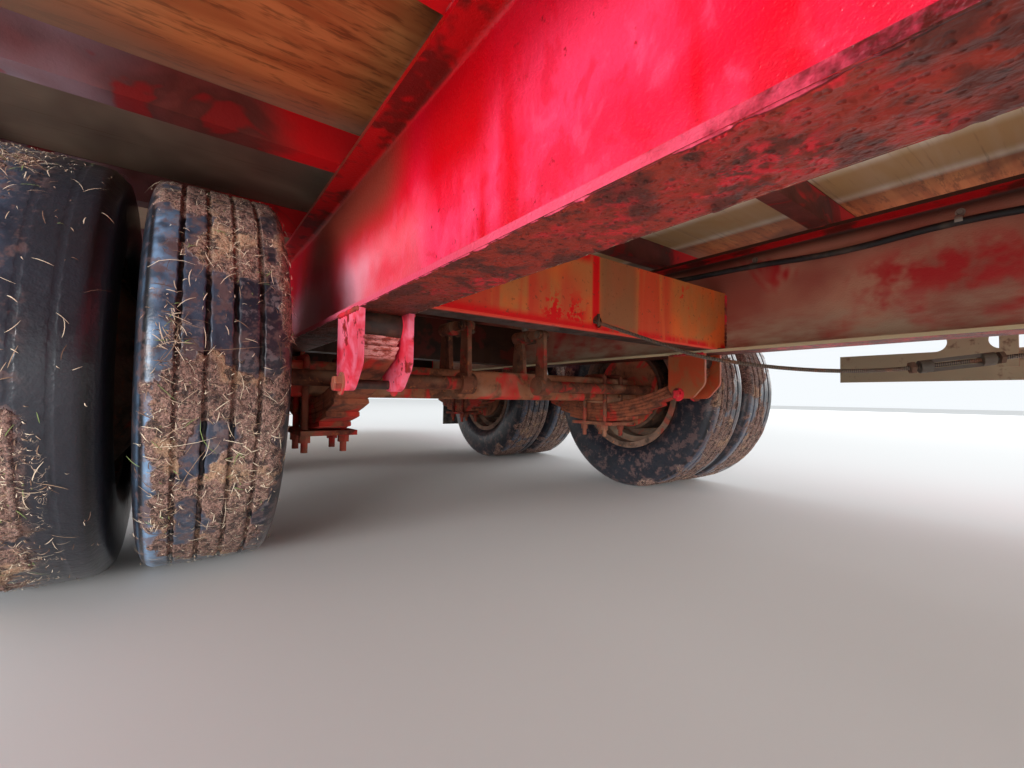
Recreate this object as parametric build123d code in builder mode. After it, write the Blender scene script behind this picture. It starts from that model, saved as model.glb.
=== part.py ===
from build123d import *
from math import asin, atan2, cos, degrees, pi, radians, sin, sqrt, tan
import os

# Tandem-axle low loader trailer in millimetres: +X towards the towing eye, +Y its left side, +Z up.
# The origin lies on the ground, midway between the tip of the eye and the rearmost edge.

os.makedirs("parts", exist_ok=True)

# Layout along the trailer, measured from the front axle
eye_ahead = 6060
bearer_ahead = 325          # front face of the deck bearer next ahead of the front axle
bearer_pitch = 476
bays_ahead = 9
bays_behind = 5
axle_spread = 1093
tail_run = 1300
tail_fall = 330

# Deck and frame heights above the ground, and widths
rail_foot = 510
rail_depth = 305
rail_flange = 102
rail_flange_thick = 9
rail_web = 6
rail_root = 9               # root radius between web and flanges
rail_centre = 537           # web of each main rail off the centre line
bearer_depth = 69
bearer_flange = 45
bearer_wall = 6
board_thick = 27
board_gap = 2
board_bays = 2              # bays covered by one sheet
deck_half = 1220
rave_wall = 8
rave_flange = 60
rave_lip = 4                # rave stands this much above the boards

# Cross-members between the rails
cross_depth = 178
cross_flange = 76
cross_web = 7
cross_flange_thick = 10
cross_root = 9
cross_ahead = 506           # front face of the member at the front spring hangers
forward_cross_pitch = 1428

# Tail
tail_end_depth = 110
tail_bearer_count = 3
end_plate_wall = 12
end_plate_depth = 190

# Tyres, rims and hubs, two wheels a station
tyre_radius = 398.5
tyre_half_width = 111
tread_half_width = 90
shoulder_half_width = 105
shoulder_drop = 20
tyre_widest_radius = 305
bead_radius = 222.5
bead_half_width = 82
wheel_spacing = 245
inner_wheel_centre = 777
rim_half_width = 86
rim_wall = 7
rim_flange_height = 17
rim_well_depth = 22
disc_wall = 6
disc_bore = 80.5
disc_flat_radius = 137
rim_disc_dish = 60           # disc meets the rim this far from the mounting face
rim_well_taper = 1.5
hand_hole_count = 5
hand_hole_radius = 22
hand_hole_circle = 174
hand_hole_reach = 50         # cut this far each way from the mounting face
hub_spigot_radius = 80
hub_spigot_long = 8          # spigot stands this far through the pair of discs
hub_body_radius = 62
hub_cap_radius = 50
hub_cap_wall = 4
hub_flare = 14
drum_radius = 160
drum_wall = 14
drum_mouth = 700            # open edge of the drum off the centre line
drum_back = 862
spindle_radius = 30
spindle_past_drum = 130
bearing_gap = 0.3
seat_gap = 0.3

# Axles, springs and their hangers
beam_width = 90
beam_corner = 12
shield_radius = 150
shield_wall = 5
shield_face = 688
leaf_width = 72
leaf_thick = 12
spring_seat_thick = 8       # saddle between beam and top leaf, at its thinnest
spring_seat_long = 120
leaf_reaches = [440, 437, 330, 270, 210, 150]
leaf_arc_radius = 830
seat_reach = 425            # springs meet their seats this far from the axle
hanger_ahead = 400          # centre of the front hangers
hanger_wall = 10
hanger_length = 130
hanger_drop = 143
hanger_toe = 22              # foot of a hanger plate, on its outer end
hanger_toe_rise = 46
hanger_heel = 40             # foot of a hanger plate, on the axle's side
hanger_heel_rise = 30
hanger_round = 30            # radius of the plates' lower corners
hanger_side_gap = 4
hanger_pin_radius = 9
hanger_pin_height = 380
hanger_pin_back = 28
hanger_seat_radius = 30
u_bolt_radius = 8
u_bolt_bend = 16
u_bolt_tail = 24
clamp_plate = [210, 130, 12]
clamp_nut_radius = 14
clamp_nut_height = 20
rocker_nose_radius = 14
rocker_tip_gap = 8
rocker_web = 14
rocker_crown_drop = 2
rocker_boss_radius = 36
rocker_pin_radius = 20
rocker_pin_drop = 88
rocker_plate_length = 170
rocker_plate_step = 40
rocker_plate_foot = 34
rocker_plate_drop = 140
rocker_plate_round = 18

# Brake gear
cam_tube_radius = 19
cam_ahead = 118
cam_ends = [90, -150]       # inner ends of the left and right camshafts
cam_bracket_across = 330
lever_length = 168
lever_wall = 14
lever_eye_radius = 17
lever_boss_radius = 30
lever_boss_width = 44
ram_radius = 21
ram_length = 70
ram_rod_radius = 8
ram_bracket_back = 20
clevis_long = 36             # pin to the root of the fork
clevis_half = 14
clevis_wall = 8
clevis_gap = 2
clevis_pin_radius = 7

# Drawbar, eye and jack
leg_depth = 200
leg_flange = 75
leg_wall = 9
headstock_flange = 90
headstock_wall = 9
nose_width = 150
nose_length = 300
nose_wall = 12
gusset_along = 160
gusset_across = 110
gusset_wall = 10
eye_bore = 25
eye_outer = 62
eye_thick = 40
eye_shank = 150
eye_shank_width = 74
eye_round = 12
eye_flange_wall = 20
eye_height = 610
jack_behind_eye = 720
jack_bore = 27.3
jack_wall = 5
jack_leg_radius = 27
jack_foot_radius = 95
jack_foot_thick = 10
jack_tube_foot = 400
jack_tube_top = 1030
jack_travel = 300
jack_plate_wall = 12
jack_plate_depth = 150
crank_boss_radius = 20
crank_boss_height = 24
crank_reach = 150
crank_bar = [24, 10]
crank_grip_radius = 11
crank_grip_height = 90

# Handbrake lever, its cable and the brake hose
handbrake_ahead = 260
handbrake_stand_off = 46
handbrake_arm = 16
handbrake_wall = 8
handbrake_pivot = 620
handbrake_top = 1060
handbrake_lean = 90
handbrake_bar = 28
quadrant_radius = 110
cable_height = 455
cable_radius = 4
cable_route = [              # ahead of the cross-member, to the left, up
    (-18, -56, 548),
    (113, 40, 487),
    (181, 85, 455),
    (293, 161, 432),
    (381, 219, 423),
    (461, 275, 424),
    (700, 437, 463),
    (1390, 455, 461),
]
cable_hole_radius = 15
strainer_run = 5             # the cable strainer sits on this run of the route
strainer_from_run = 48
strainer_long = 110
strainer_boss_radius = 12
strainer_boss_long = 18
strainer_bar = 7
hose_radius = 8
hose_stand_off = 4
hose_clip_height = 762
hose_clip_pitch = 435
hose_first_clip = 91         # last clip ahead of the front cross-member
hose_sag = 17
hose_end_gap = 0.8
hose_drop_route = [          # ahead of the cross-member, to the left of the ram, above the clips
    (-120, 348, -14),
    (-240, 232, -26),
    (-357, 108, -38),
    (-443, 31, -55),
    (-476, 0, -107),
]

# Headboard
headboard_height = 420
headboard_post = 50
headboard_foot = 740
headboard_sheet = 3
headboard_inner_post = 400   # inner posts off the centre line

# Ramps
ramp_length = 1640
ramp_width = 600
ramp_lamp_gap = 25           # between a ramp's outer side and the lamp beside it
ramp_lean = 4               # degrees ahead of upright when stowed
ramp_depth = 80
ramp_channel = 40
ramp_wall = 6
ramp_surface = 34           # hinge axis to the running face
ramp_hinge_behind = 48
ramp_heel = 24
ramp_blade = 12             # depth of the ramp's tip
ramp_toe_clear = 1          # lowered tip above the ground
ramp_heel_chamfer = 12
stop_depth = 14
stop_below_tail = 2
rung_pitch = 150
rung_first = 110
rung_leg = 40
rung_wall = 5
hinge_pin_radius = 14
hinge_fit = 0.08
lug_wall = 14
lug_side_gap = 5
lug_radius = 24

# Side guards, mudflaps and lamps
guard_inset = 40             # guards stand this far inside the edge of the deck
guard_wall = 4
guard_foot = 438
guard_height = 210
guard_rear_ahead = 610
guard_length = 3600
slot_height = 60
slot_foot = 97              # foot of the slots above the foot of the guard
slot_length = 294
slot_pitch = 387
flap_clearance = 60          # least gap between the rear tyres and the bearer with the mudflaps
flap_wall = 10
flap_width = 470
flap_foot = 170
guard_bar_width = 40
guard_bar_wall = 8
guard_bar_foot = 40          # foot of the bars above the foot of the guard
guard_bar_first = 430        # first bar ahead of the guard's rear end
lamp_drop = 30
lamp_corner = 18
lamp_size = [42, 240, 90]
lamp_inset = 15

# Derived places
rail_top = rail_foot + rail_depth
bearer_top = rail_top + bearer_depth
deck_top = bearer_top + board_thick
axle_height = tyre_radius
tail_end_ahead = bearer_ahead - bays_behind * bearer_pitch - bearer_flange - tail_run
hinge_ahead = tail_end_ahead - end_plate_wall - ramp_hinge_behind
ramp_foot_reach = (ramp_depth - ramp_surface) * cos(radians(ramp_lean))
ramp_heel_reach = ramp_heel * sin(radians(ramp_lean))
rear_reach = ramp_foot_reach + ramp_heel_reach - hinge_ahead
front_axle = (rear_reach - eye_ahead - eye_outer) / 2
axles_x = [front_axle, front_axle - axle_spread]
deck_front = front_axle + bearer_ahead + bays_ahead * bearer_pitch
deck_rear = front_axle + bearer_ahead - bays_behind * bearer_pitch - bearer_flange
tail_end = deck_rear - tail_run
tail_angle = atan2(tail_fall, tail_run)
headstock_back = deck_front - headstock_flange
rocker_x = front_axle - axle_spread / 2
lamp_deep, lamp_wide, lamp_high = lamp_size
ramp_centre = deck_half - lamp_inset - lamp_wide - ramp_lamp_gap - ramp_width / 2
sides = [("left", 1), ("right", -1)]


def save(shape, name):
    shape.label = name
    export_step(shape, "parts/" + name + ".step")


# Main rails: one I-beam a side, from the headstock to the start of the tail
for side, way in sides:
    with BuildPart() as main_rail:
        with BuildSketch(Plane.YZ.offset(deck_rear)) as rail_section:
            for height in (rail_foot + rail_flange_thick / 2, rail_top - rail_flange_thick / 2):
                with Locations((way * rail_centre, height)):
                    Rectangle(rail_flange, rail_flange_thick)
            with Locations((way * rail_centre, rail_foot + rail_depth / 2)):
                Rectangle(rail_web, rail_depth)
            roots = [at for at in rail_section.vertices() if abs(at.X - way * rail_centre) < rail_web]
            fillet(roots, radius=rail_root)
        extrude(amount=headstock_back - deck_rear)
    save(main_rail.part, "main_rail_" + side)

# Cross-members: channels between the webs, backs forward, feet level with the rails
cross_faces = [
    front_axle + cross_ahead,
    rocker_x + cross_flange / 2,
    front_axle - axle_spread - cross_ahead + cross_flange,
    front_axle + cross_ahead + forward_cross_pitch,
    front_axle + cross_ahead + 2 * forward_cross_pitch,
]
cross_half = rail_centre - rail_web / 2
cross_foot = rail_foot + rail_flange_thick
hook_from = Vector(*cable_route[0])
hook_to = Vector(*cable_route[1])
hook_hole = hook_from + (hook_to - hook_from) * ((-cross_web / 2 - hook_from.X) / (hook_to.X - hook_from.X))
with BuildPart() as cross_members:
    for face in cross_faces:
        with BuildSketch(Plane.XZ.offset(-cross_half)) as cross_section:
            with BuildLine():
                inner = face - cross_web
                back = face - cross_flange
                top = cross_foot + cross_depth
                Polyline(
                    (face, cross_foot),
                    (face, top),
                    (back, top),
                    (back, top - cross_flange_thick),
                    (inner, top - cross_flange_thick),
                    (inner, cross_foot + cross_flange_thick),
                    (back, cross_foot + cross_flange_thick),
                    (back, cross_foot),
                    close=True,
                )
            make_face()
            roots = [at for at in cross_section.vertices() if abs(at.X - inner) < 1]
            fillet(roots, radius=cross_root)
        extrude(amount=2 * cross_half)
    with BuildSketch(Plane.YZ.offset(min(cross_faces) - cross_flange)):
        for way in (-1, 1):
            with BuildLine():
                Polyline(
                    (way * cross_half, cross_foot),
                    (way * (cross_half - rail_root), cross_foot),
                    (way * cross_half, cross_foot + rail_root),
                    close=True,
                )
            make_face()
    extrude(amount=max(cross_faces) - min(cross_faces) + cross_flange, mode=Mode.SUBTRACT)
    with BuildSketch(Plane.YZ.offset(cross_faces[0] - cross_web)):
        with Locations((hook_hole.Y, hook_hole.Z)):
            Circle(cable_hole_radius)
    extrude(amount=cross_web, mode=Mode.SUBTRACT)
save(cross_members.part, "cross_members")

# Headstock: deep channel across the front ends of the rails, back forward
with BuildPart() as headstock:
    with BuildSketch(Plane.XZ.offset(-(deck_half - rave_wall))):
        with BuildLine():
            Polyline(
                (deck_front, rail_foot),
                (deck_front, bearer_top),
                (headstock_back, bearer_top),
                (headstock_back, bearer_top - headstock_wall),
                (deck_front - headstock_wall, bearer_top - headstock_wall),
                (deck_front - headstock_wall, rail_foot + headstock_wall),
                (headstock_back, rail_foot + headstock_wall),
                (headstock_back, rail_foot),
                close=True,
            )
        make_face()
    extrude(amount=2 * (deck_half - rave_wall))
save(headstock.part, "headstock")

# Deck bearers: channels across the rails, one every bay, and the last three square to the sloping tail
slope = Plane(
    origin=(deck_rear, 0, rail_top),
    x_dir=(-cos(tail_angle), 0, -sin(tail_angle)),
    z_dir=(0, 1, 0),
)
slope_run = tail_run / cos(tail_angle)
tail_bearer_pitch = slope_run / (tail_bearer_count + 1)
bearer_half = deck_half - rave_wall
bearer_faces = [deck_front - bay * bearer_pitch for bay in range(1, bays_ahead + bays_behind + 1)]
with BuildPart() as deck_bearers:
    for face in bearer_faces:
        with BuildSketch(Plane.XZ.offset(-bearer_half)):
            with BuildLine():
                back = face - bearer_flange
                inner = face - bearer_wall
                Polyline(
                    (face, rail_top),
                    (face, bearer_top),
                    (back, bearer_top),
                    (back, bearer_top - bearer_wall),
                    (inner, bearer_top - bearer_wall),
                    (inner, rail_top + bearer_wall),
                    (back, rail_top + bearer_wall),
                    (back, rail_top),
                    close=True,
                )
            make_face()
        extrude(amount=2 * bearer_half)
    for place in range(1, tail_bearer_count + 1):
        along = place * tail_bearer_pitch
        with BuildSketch(slope.offset(-bearer_half)):
            with BuildLine():
                Polyline(
                    (along, 0),
                    (along, bearer_depth),
                    (along + bearer_flange, bearer_depth),
                    (along + bearer_flange, bearer_depth - bearer_wall),
                    (along + bearer_wall, bearer_depth - bearer_wall),
                    (along + bearer_wall, bearer_wall),
                    (along + bearer_flange, bearer_wall),
                    (along + bearer_flange, 0),
                    close=True,
                )
            make_face()
        extrude(amount=2 * bearer_half)
save(deck_bearers.part, "deck_bearers")

# Raves: angles along both edges of the deck, under the bearers and round the boards
for side, way in sides:
    with BuildPart() as side_rave:
        with BuildSketch(Plane.YZ.offset(deck_rear)):
            with BuildLine():
                outer = way * deck_half
                inner = way * (deck_half - rave_wall)
                Polyline(
                    (outer, rail_top - rave_wall),
                    (outer, deck_top + rave_lip),
                    (inner, deck_top + rave_lip),
                    (inner, rail_top),
                    (way * (deck_half - rave_flange), rail_top),
                    (way * (deck_half - rave_flange), rail_top - rave_wall),
                    close=True,
                )
            make_face()
        extrude(amount=headstock_back - deck_rear)
    save(side_rave.part, "side_rave_" + side)

# Deck boards: plywood sheets, two bays each, with narrow joints over the bearers
sheet_length = board_bays * bearer_pitch
sheet_count = (bays_ahead + bays_behind) // board_bays
with BuildPart() as deck_boards:
    for sheet in range(sheet_count):
        sheet_front = deck_front - sheet * sheet_length
        sheet_back = sheet_front - sheet_length + board_gap
        if sheet == sheet_count - 1:
            sheet_back = deck_rear
        with BuildSketch(Plane.XY.offset(bearer_top)):
            with Locations(((sheet_front + sheet_back) / 2, 0)):
                Rectangle(sheet_front - sheet_back, 2 * (deck_half - rave_wall - board_gap / 2))
        extrude(amount=board_thick)
save(deck_boards.part, "deck_boards")

# Tail rails: plate beams that taper from the main rails to the end member
tail_foot_end = rail_top - tail_fall - tail_end_depth
for side, way in sides:
    with BuildPart() as tail_rail:
        with BuildSketch(Plane.XZ.offset(-(way * rail_centre + rail_web / 2))):
            with BuildLine():
                Polyline(
                    (deck_rear, rail_foot),
                    (deck_rear, rail_top),
                    (tail_end, rail_top - tail_fall),
                    (tail_end, tail_foot_end),
                    close=True,
                )
            make_face()
        extrude(amount=rail_web)
        with BuildSketch(Plane.XZ.offset(-(way * rail_centre + rail_flange / 2))):
            with BuildLine():
                Polyline(
                    (deck_rear, rail_top - rail_flange_thick),
                    (deck_rear, rail_top),
                    (tail_end, rail_top - tail_fall),
                    (tail_end, rail_top - tail_fall - rail_flange_thick),
                    close=True,
                )
            make_face()
            with BuildLine():
                Polyline(
                    (deck_rear, rail_foot),
                    (deck_rear, rail_foot + rail_flange_thick),
                    (tail_end, tail_foot_end + rail_flange_thick),
                    (tail_end, tail_foot_end),
                    close=True,
                )
            make_face()
        extrude(amount=rail_flange)
    save(tail_rail.part, "tail_rail_" + side)


# Tail frame: raves beside the sloping boards, the end plate, and the lugs, pins and stops for the ramps
tail_top_end = rail_top - tail_fall + (bearer_depth + board_thick) / cos(tail_angle)
hinge_x = tail_end - end_plate_wall - ramp_hinge_behind
hinge_z = tail_top_end - ramp_surface
lean = radians(ramp_lean)
up_ramp = Vector(sin(lean), 0, cos(lean))
ramp_plan = Plane(origin=(hinge_x, 0, hinge_z), x_dir=up_ramp, z_dir=(0, 1, 0))


def level_cut(rise, back):
    """Distance down the slope to a plumb line this far behind the deck's rear edge."""
    return (back - rise * sin(tail_angle)) / cos(tail_angle)


with BuildPart() as tail_frame:
    rave_top = bearer_depth + board_thick + rave_lip
    for side, way in sides:
        with BuildSketch(slope.offset(way * (deck_half - rave_wall / 2) - rave_wall / 2)):
            with BuildLine():
                Polyline(
                    (level_cut(-rave_wall, 0), -rave_wall),
                    (level_cut(rave_top, 0), rave_top),
                    (level_cut(rave_top, tail_run), rave_top),
                    (level_cut(-rave_wall, tail_run), -rave_wall),
                    close=True,
                )
            make_face()
        extrude(amount=rave_wall)
    with BuildSketch(Plane.YZ.offset(tail_end - end_plate_wall)):
        with Locations((0, tail_top_end - end_plate_depth / 2)):
            Rectangle(2 * deck_half, end_plate_depth)
    extrude(amount=end_plate_wall)
    for side, way in sides:
        for flank in (-1, 1):
            ramp_web = way * ramp_centre + flank * (ramp_width / 2 - ramp_wall)
            lug_near = ramp_web - flank * lug_side_gap
            lug_far = lug_near - flank * lug_wall
            with BuildSketch(ramp_plan.offset(min(lug_near, lug_far))):
                Circle(lug_radius)
                with BuildLine():
                    plate_at = ramp_hinge_behind + end_plate_wall / 2
                    Polyline(
                        (-lug_radius, 0),
                        (-lug_radius, plate_at),
                        (lug_radius, plate_at),
                        (lug_radius, 0),
                        close=True,
                    )
                make_face()
            extrude(amount=lug_wall)
            pin_end = ramp_web + flank * (ramp_wall + lug_side_gap)
            with BuildSketch(ramp_plan.offset(min(lug_far, pin_end))):
                Circle(hinge_pin_radius)
            extrude(amount=abs(lug_far - pin_end))
            with BuildSketch(ramp_plan.offset(ramp_web - ramp_channel / 2)):
                with BuildLine():
                    stop_top = (tail_top_end - hinge_z) / cos(lean) - stop_below_tail
                    stop_face = ramp_surface + seat_gap
                    Polyline(
                        (stop_top - stop_depth, stop_face),
                        (stop_top, stop_face),
                        (stop_top, plate_at),
                        (stop_top - stop_depth, plate_at),
                        close=True,
                    )
                make_face()
            extrude(amount=ramp_channel)
save(tail_frame.part, "tail_frame")

# Tail boards: one sloping sheet between the raves
with BuildPart() as tail_boards:
    with BuildSketch(slope.offset(-(bearer_half - board_gap / 2))):
        with BuildLine():
            low = bearer_depth
            high = bearer_depth + board_thick
            Polyline(
                (level_cut(low, board_gap), low),
                (level_cut(high, board_gap), high),
                (level_cut(high, tail_run), high),
                (level_cut(low, tail_run), low),
                close=True,
            )
        make_face()
    extrude(amount=2 * bearer_half - board_gap)
save(tail_boards.part, "tail_boards")

# Drawbar: two channels that run in from the headstock to a box nose behind the eye
eye_x = front_axle + eye_ahead
nose_front = eye_x - eye_shank
nose_back = nose_front - nose_length
leg_start = Vector(deck_front, rail_centre - leg_flange / 2, rail_foot)
leg_end = Vector(nose_back + nose_length / 2, nose_width / 2, rail_foot)
leg_heading = (leg_end - leg_start).normalized()
leg_outward = Vector(-leg_heading.Y, leg_heading.X, 0)
leg_extra = 2 * leg_flange
jack_x = eye_x - jack_behind_eye
jack_plate_front = jack_x - jack_bore - jack_wall
leg_slope = leg_heading.Y / leg_heading.X
jack_plate_half = leg_start.Y + (jack_plate_front - deck_front) * leg_slope - leg_wall / 2
lever_x = deck_front + handbrake_ahead
lever_lane = leg_start.Y + handbrake_ahead * leg_slope + handbrake_stand_off
leg_section = Plane(origin=leg_start - leg_heading * leg_extra, x_dir=leg_outward, z_dir=leg_heading)
with BuildPart() as drawbar:
    with BuildSketch(leg_section):
        with BuildLine():
            Polyline(
                (0, 0),
                (0, leg_depth),
                (-leg_flange, leg_depth),
                (-leg_flange, leg_depth - leg_wall),
                (-leg_wall, leg_depth - leg_wall),
                (-leg_wall, leg_wall),
                (-leg_flange, leg_wall),
                (-leg_flange, 0),
                close=True,
            )
        make_face()
    extrude(amount=(leg_end - leg_start).length + 2 * leg_extra)
    split(bisect_by=Plane.YZ.offset(deck_front), keep=Keep.TOP)
    split(bisect_by=Plane.XZ.offset(-nose_width / 2), keep=Keep.BOTTOM)
    mirror(about=Plane.XZ)
    with BuildSketch(Plane.YZ.offset(nose_back)):
        with Locations((0, rail_foot + leg_depth / 2)):
            Rectangle(nose_width, leg_depth)
            Rectangle(nose_width - 2 * nose_wall, leg_depth - 2 * nose_wall, mode=Mode.SUBTRACT)
    extrude(amount=nose_length - nose_wall)
    with BuildSketch(Plane.YZ.offset(nose_front - nose_wall)):
        with Locations((0, rail_foot + leg_depth / 2)):
            Rectangle(nose_width, leg_depth)
    extrude(amount=nose_wall)
    with BuildSketch(Plane.YZ.offset(jack_plate_front - jack_plate_wall)):
        with Locations((0, rail_foot + leg_depth / 2)):
            Rectangle(2 * jack_plate_half, jack_plate_depth)
    extrude(amount=jack_plate_wall)
    gusset_end = leg_start + leg_heading * gusset_along
    for low in (rail_foot, rail_foot + leg_depth - gusset_wall):
        for way in (-1, 1):
            with BuildSketch(Plane.XY.offset(low)):
                with BuildLine():
                    Polyline(
                        (leg_start.X, way * (leg_start.Y - leg_wall / 2)),
                        (leg_start.X, way * (leg_start.Y + gusset_across)),
                        (gusset_end.X, way * gusset_end.Y),
                        (gusset_end.X, way * (gusset_end.Y - leg_wall / 2)),
                        close=True,
                    )
                make_face()
            extrude(amount=gusset_wall)
    with BuildSketch(Plane.XZ.offset(-lever_lane)):
        with Locations((lever_x, handbrake_pivot)):
            Circle(handbrake_arm)
    extrude(amount=handbrake_stand_off + leg_wall / 2)
save(drawbar.part, "drawbar")

# Towing eye: forged ring on a shank and a flange that bolts to the nose
with BuildPart() as towing_eye:
    with BuildSketch(Plane.YZ.offset(nose_front)):
        with Locations((0, eye_height)):
            Rectangle(nose_width, leg_depth - 2 * nose_wall)
    extrude(amount=eye_flange_wall)
    with BuildSketch(Plane.YZ.offset(nose_front)):
        with Locations((0, eye_height)):
            RectangleRounded(eye_shank_width, eye_thick, eye_round)
    extrude(amount=eye_x - nose_front)
    with BuildSketch(Plane.XZ):
        with Locations((eye_x, eye_height)):
            RectangleRounded(2 * eye_outer, eye_thick, eye_round)
        with Locations((eye_x - eye_outer / 2, eye_height)):
            Rectangle(eye_outer, eye_thick, mode=Mode.SUBTRACT)
    revolve(axis=Axis((eye_x, 0, eye_height), (0, 0, 1)))
    with BuildSketch(Plane.XY.offset(eye_height - eye_thick / 2)):
        with Locations((eye_x, 0)):
            Circle(eye_bore)
    extrude(amount=eye_thick, mode=Mode.SUBTRACT)
save(towing_eye.part, "towing_eye")

# Jack: a tube with a crank on a saddle bolted to the cross plate, and its sliding leg with a round foot
with BuildPart() as jack_housing:
    with BuildSketch(Plane.XY.offset(jack_tube_foot)):
        with Locations((jack_x, 0)):
            Circle(jack_bore + jack_wall)
    extrude(amount=jack_tube_top - jack_tube_foot)
    with BuildSketch(Plane.XY.offset(rail_foot + (leg_depth - jack_plate_depth) / 2)):
        with Locations(((jack_plate_front + jack_x) / 2, 0)):
            Rectangle(jack_x - jack_plate_front, 2 * jack_bore)
    extrude(amount=jack_plate_depth)
    with BuildSketch(Plane.XY.offset(jack_tube_foot)):
        with Locations((jack_x, 0)):
            Circle(jack_bore)
    extrude(amount=jack_tube_top - jack_tube_foot - jack_wall, mode=Mode.SUBTRACT)
    with BuildSketch(Plane.XY.offset(jack_tube_top)):
        with Locations((jack_x, 0)):
            Circle(crank_boss_radius)
    extrude(amount=crank_boss_height)
    crank_foot = jack_tube_top + crank_boss_height
    crank_width, crank_thick = crank_bar
    with BuildSketch(Plane.XY.offset(crank_foot)):
        with Locations((jack_x - crank_reach / 2, 0)):
            SlotCenterToCenter(crank_reach, crank_width)
    extrude(amount=crank_thick)
    with BuildSketch(Plane.XY.offset(crank_foot + crank_thick)):
        with Locations((jack_x - crank_reach, 0)):
            Circle(crank_grip_radius)
    extrude(amount=crank_grip_height)
save(jack_housing.part, "jack_housing")
with BuildPart() as jack_leg:
    with BuildSketch(Plane.XY):
        with Locations((jack_x, 0)):
            Circle(jack_foot_radius)
    extrude(amount=jack_foot_thick)
    with BuildSketch(Plane.XY.offset(jack_foot_thick)):
        with Locations((jack_x, 0)):
            Circle(jack_leg_radius)
    extrude(amount=jack_tube_top - jack_travel - 4 * jack_wall - jack_foot_thick)
save(jack_leg.part, "jack_leg")

# Headboard: posts on the face of the headstock, two rails and a sheet
headboard_top = deck_top + headboard_height
outer_post = deck_half - headboard_post / 2
headboard_posts = [-outer_post, -headboard_inner_post, headboard_inner_post, outer_post]
with BuildPart() as headboard:
    for across in headboard_posts:
        with BuildSketch(Plane.YZ.offset(deck_front)):
            with Locations((across, (headboard_foot + headboard_top) / 2)):
                Rectangle(headboard_post, headboard_top - headboard_foot)
        extrude(amount=headboard_post)
    for height in (deck_top + headboard_post / 2, headboard_top - headboard_post / 2):
        with BuildSketch(Plane.YZ.offset(deck_front)):
            with Locations((0, height)):
                Rectangle(2 * deck_half, headboard_post)
        extrude(amount=headboard_post)
    with BuildSketch(Plane.YZ.offset(deck_front)):
        with Locations((0, (deck_top + headboard_top) / 2)):
            Rectangle(2 * deck_half, headboard_height)
    extrude(amount=headboard_sheet)
save(headboard.part, "headboard")

# Spring hangers: pairs of plates under the rails, each with a pin and a rounded seat between
leaf_top = axle_height - beam_width / 2 - spring_seat_thick
seat_turn = asin(seat_reach / leaf_arc_radius)
arc_height = leaf_top + leaf_arc_radius


def seat_place(radius):
    """Reach and height of a round seat's centre that just clears the top leaf."""
    away = leaf_arc_radius - radius - seat_gap
    return away * sin(seat_turn), arc_height - away * cos(seat_turn)


plate_inner = leaf_width / 2 + hanger_side_gap
hangers = [(front_axle, 1), (front_axle - axle_spread, -1)]
with BuildPart() as spring_hangers:
    for axle_x, ahead in hangers:
        centre = axle_x + ahead * hanger_ahead
        seat_out, seat_height = seat_place(hanger_seat_radius)
        for side, way in sides:
            for inner in (-plate_inner - hanger_wall, plate_inner):
                with BuildSketch(Plane.XZ.offset(-(way * rail_centre + inner + hanger_wall))) as plate:
                    with BuildLine():
                        half = hanger_length / 2
                        foot = rail_foot - hanger_drop
                        Polyline(
                            (centre + ahead * half, rail_foot),
                            (centre + ahead * half, foot + hanger_toe_rise),
                            (centre + ahead * hanger_toe, foot),
                            (centre - ahead * hanger_heel, foot),
                            (centre - ahead * half, foot + hanger_heel_rise),
                            (centre - ahead * half, rail_foot),
                            close=True,
                        )
                    make_face()
                    fillet(plate.vertices().sort_by(Axis.Y)[:4], radius=hanger_round)
                extrude(amount=hanger_wall)
            with BuildSketch(Plane.XZ.offset(-(way * rail_centre + plate_inner))):
                with Locations((axle_x + ahead * seat_out, seat_height)):
                    Circle(hanger_seat_radius)
                with Locations((axle_x + ahead * seat_out, rail_foot + hanger_seat_radius)):
                    Rectangle(3 * hanger_seat_radius, 2 * hanger_seat_radius, mode=Mode.SUBTRACT)
            extrude(amount=2 * plate_inner)
            pin_half = plate_inner + 2 * hanger_wall
            with BuildSketch(Plane.XZ.offset(-(way * rail_centre + pin_half))):
                with Locations((centre - ahead * hanger_pin_back, hanger_pin_height)):
                    Circle(hanger_pin_radius)
            extrude(amount=2 * pin_half)
save(spring_hangers.part, "spring_hangers")

# Leaf springs: stepped packs of leaves on one centre of curvature, under each axle
with BuildPart() as leaf_springs:
    for axle_x in axles_x:
        for side, way in sides:
            with BuildSketch(Plane.XZ.offset(-(way * rail_centre + leaf_width / 2))):
                for place, reach in enumerate(leaf_reaches):
                    upper = leaf_arc_radius + place * leaf_thick
                    lower = upper + leaf_thick
                    turn = asin(reach / leaf_arc_radius)
                    with BuildLine():
                        ends = []
                        for radius in (upper, lower):
                            left_end = (axle_x - radius * sin(turn), arc_height - radius * cos(turn))
                            right_end = (axle_x + radius * sin(turn), arc_height - radius * cos(turn))
                            ThreePointArc(left_end, (axle_x, arc_height - radius), right_end)
                            ends.append((left_end, right_end))
                        Line(ends[0][0], ends[1][0])
                        Line(ends[0][1], ends[1][1])
                    make_face()
            extrude(amount=leaf_width)
save(leaf_springs.part, "leaf_springs")

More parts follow.
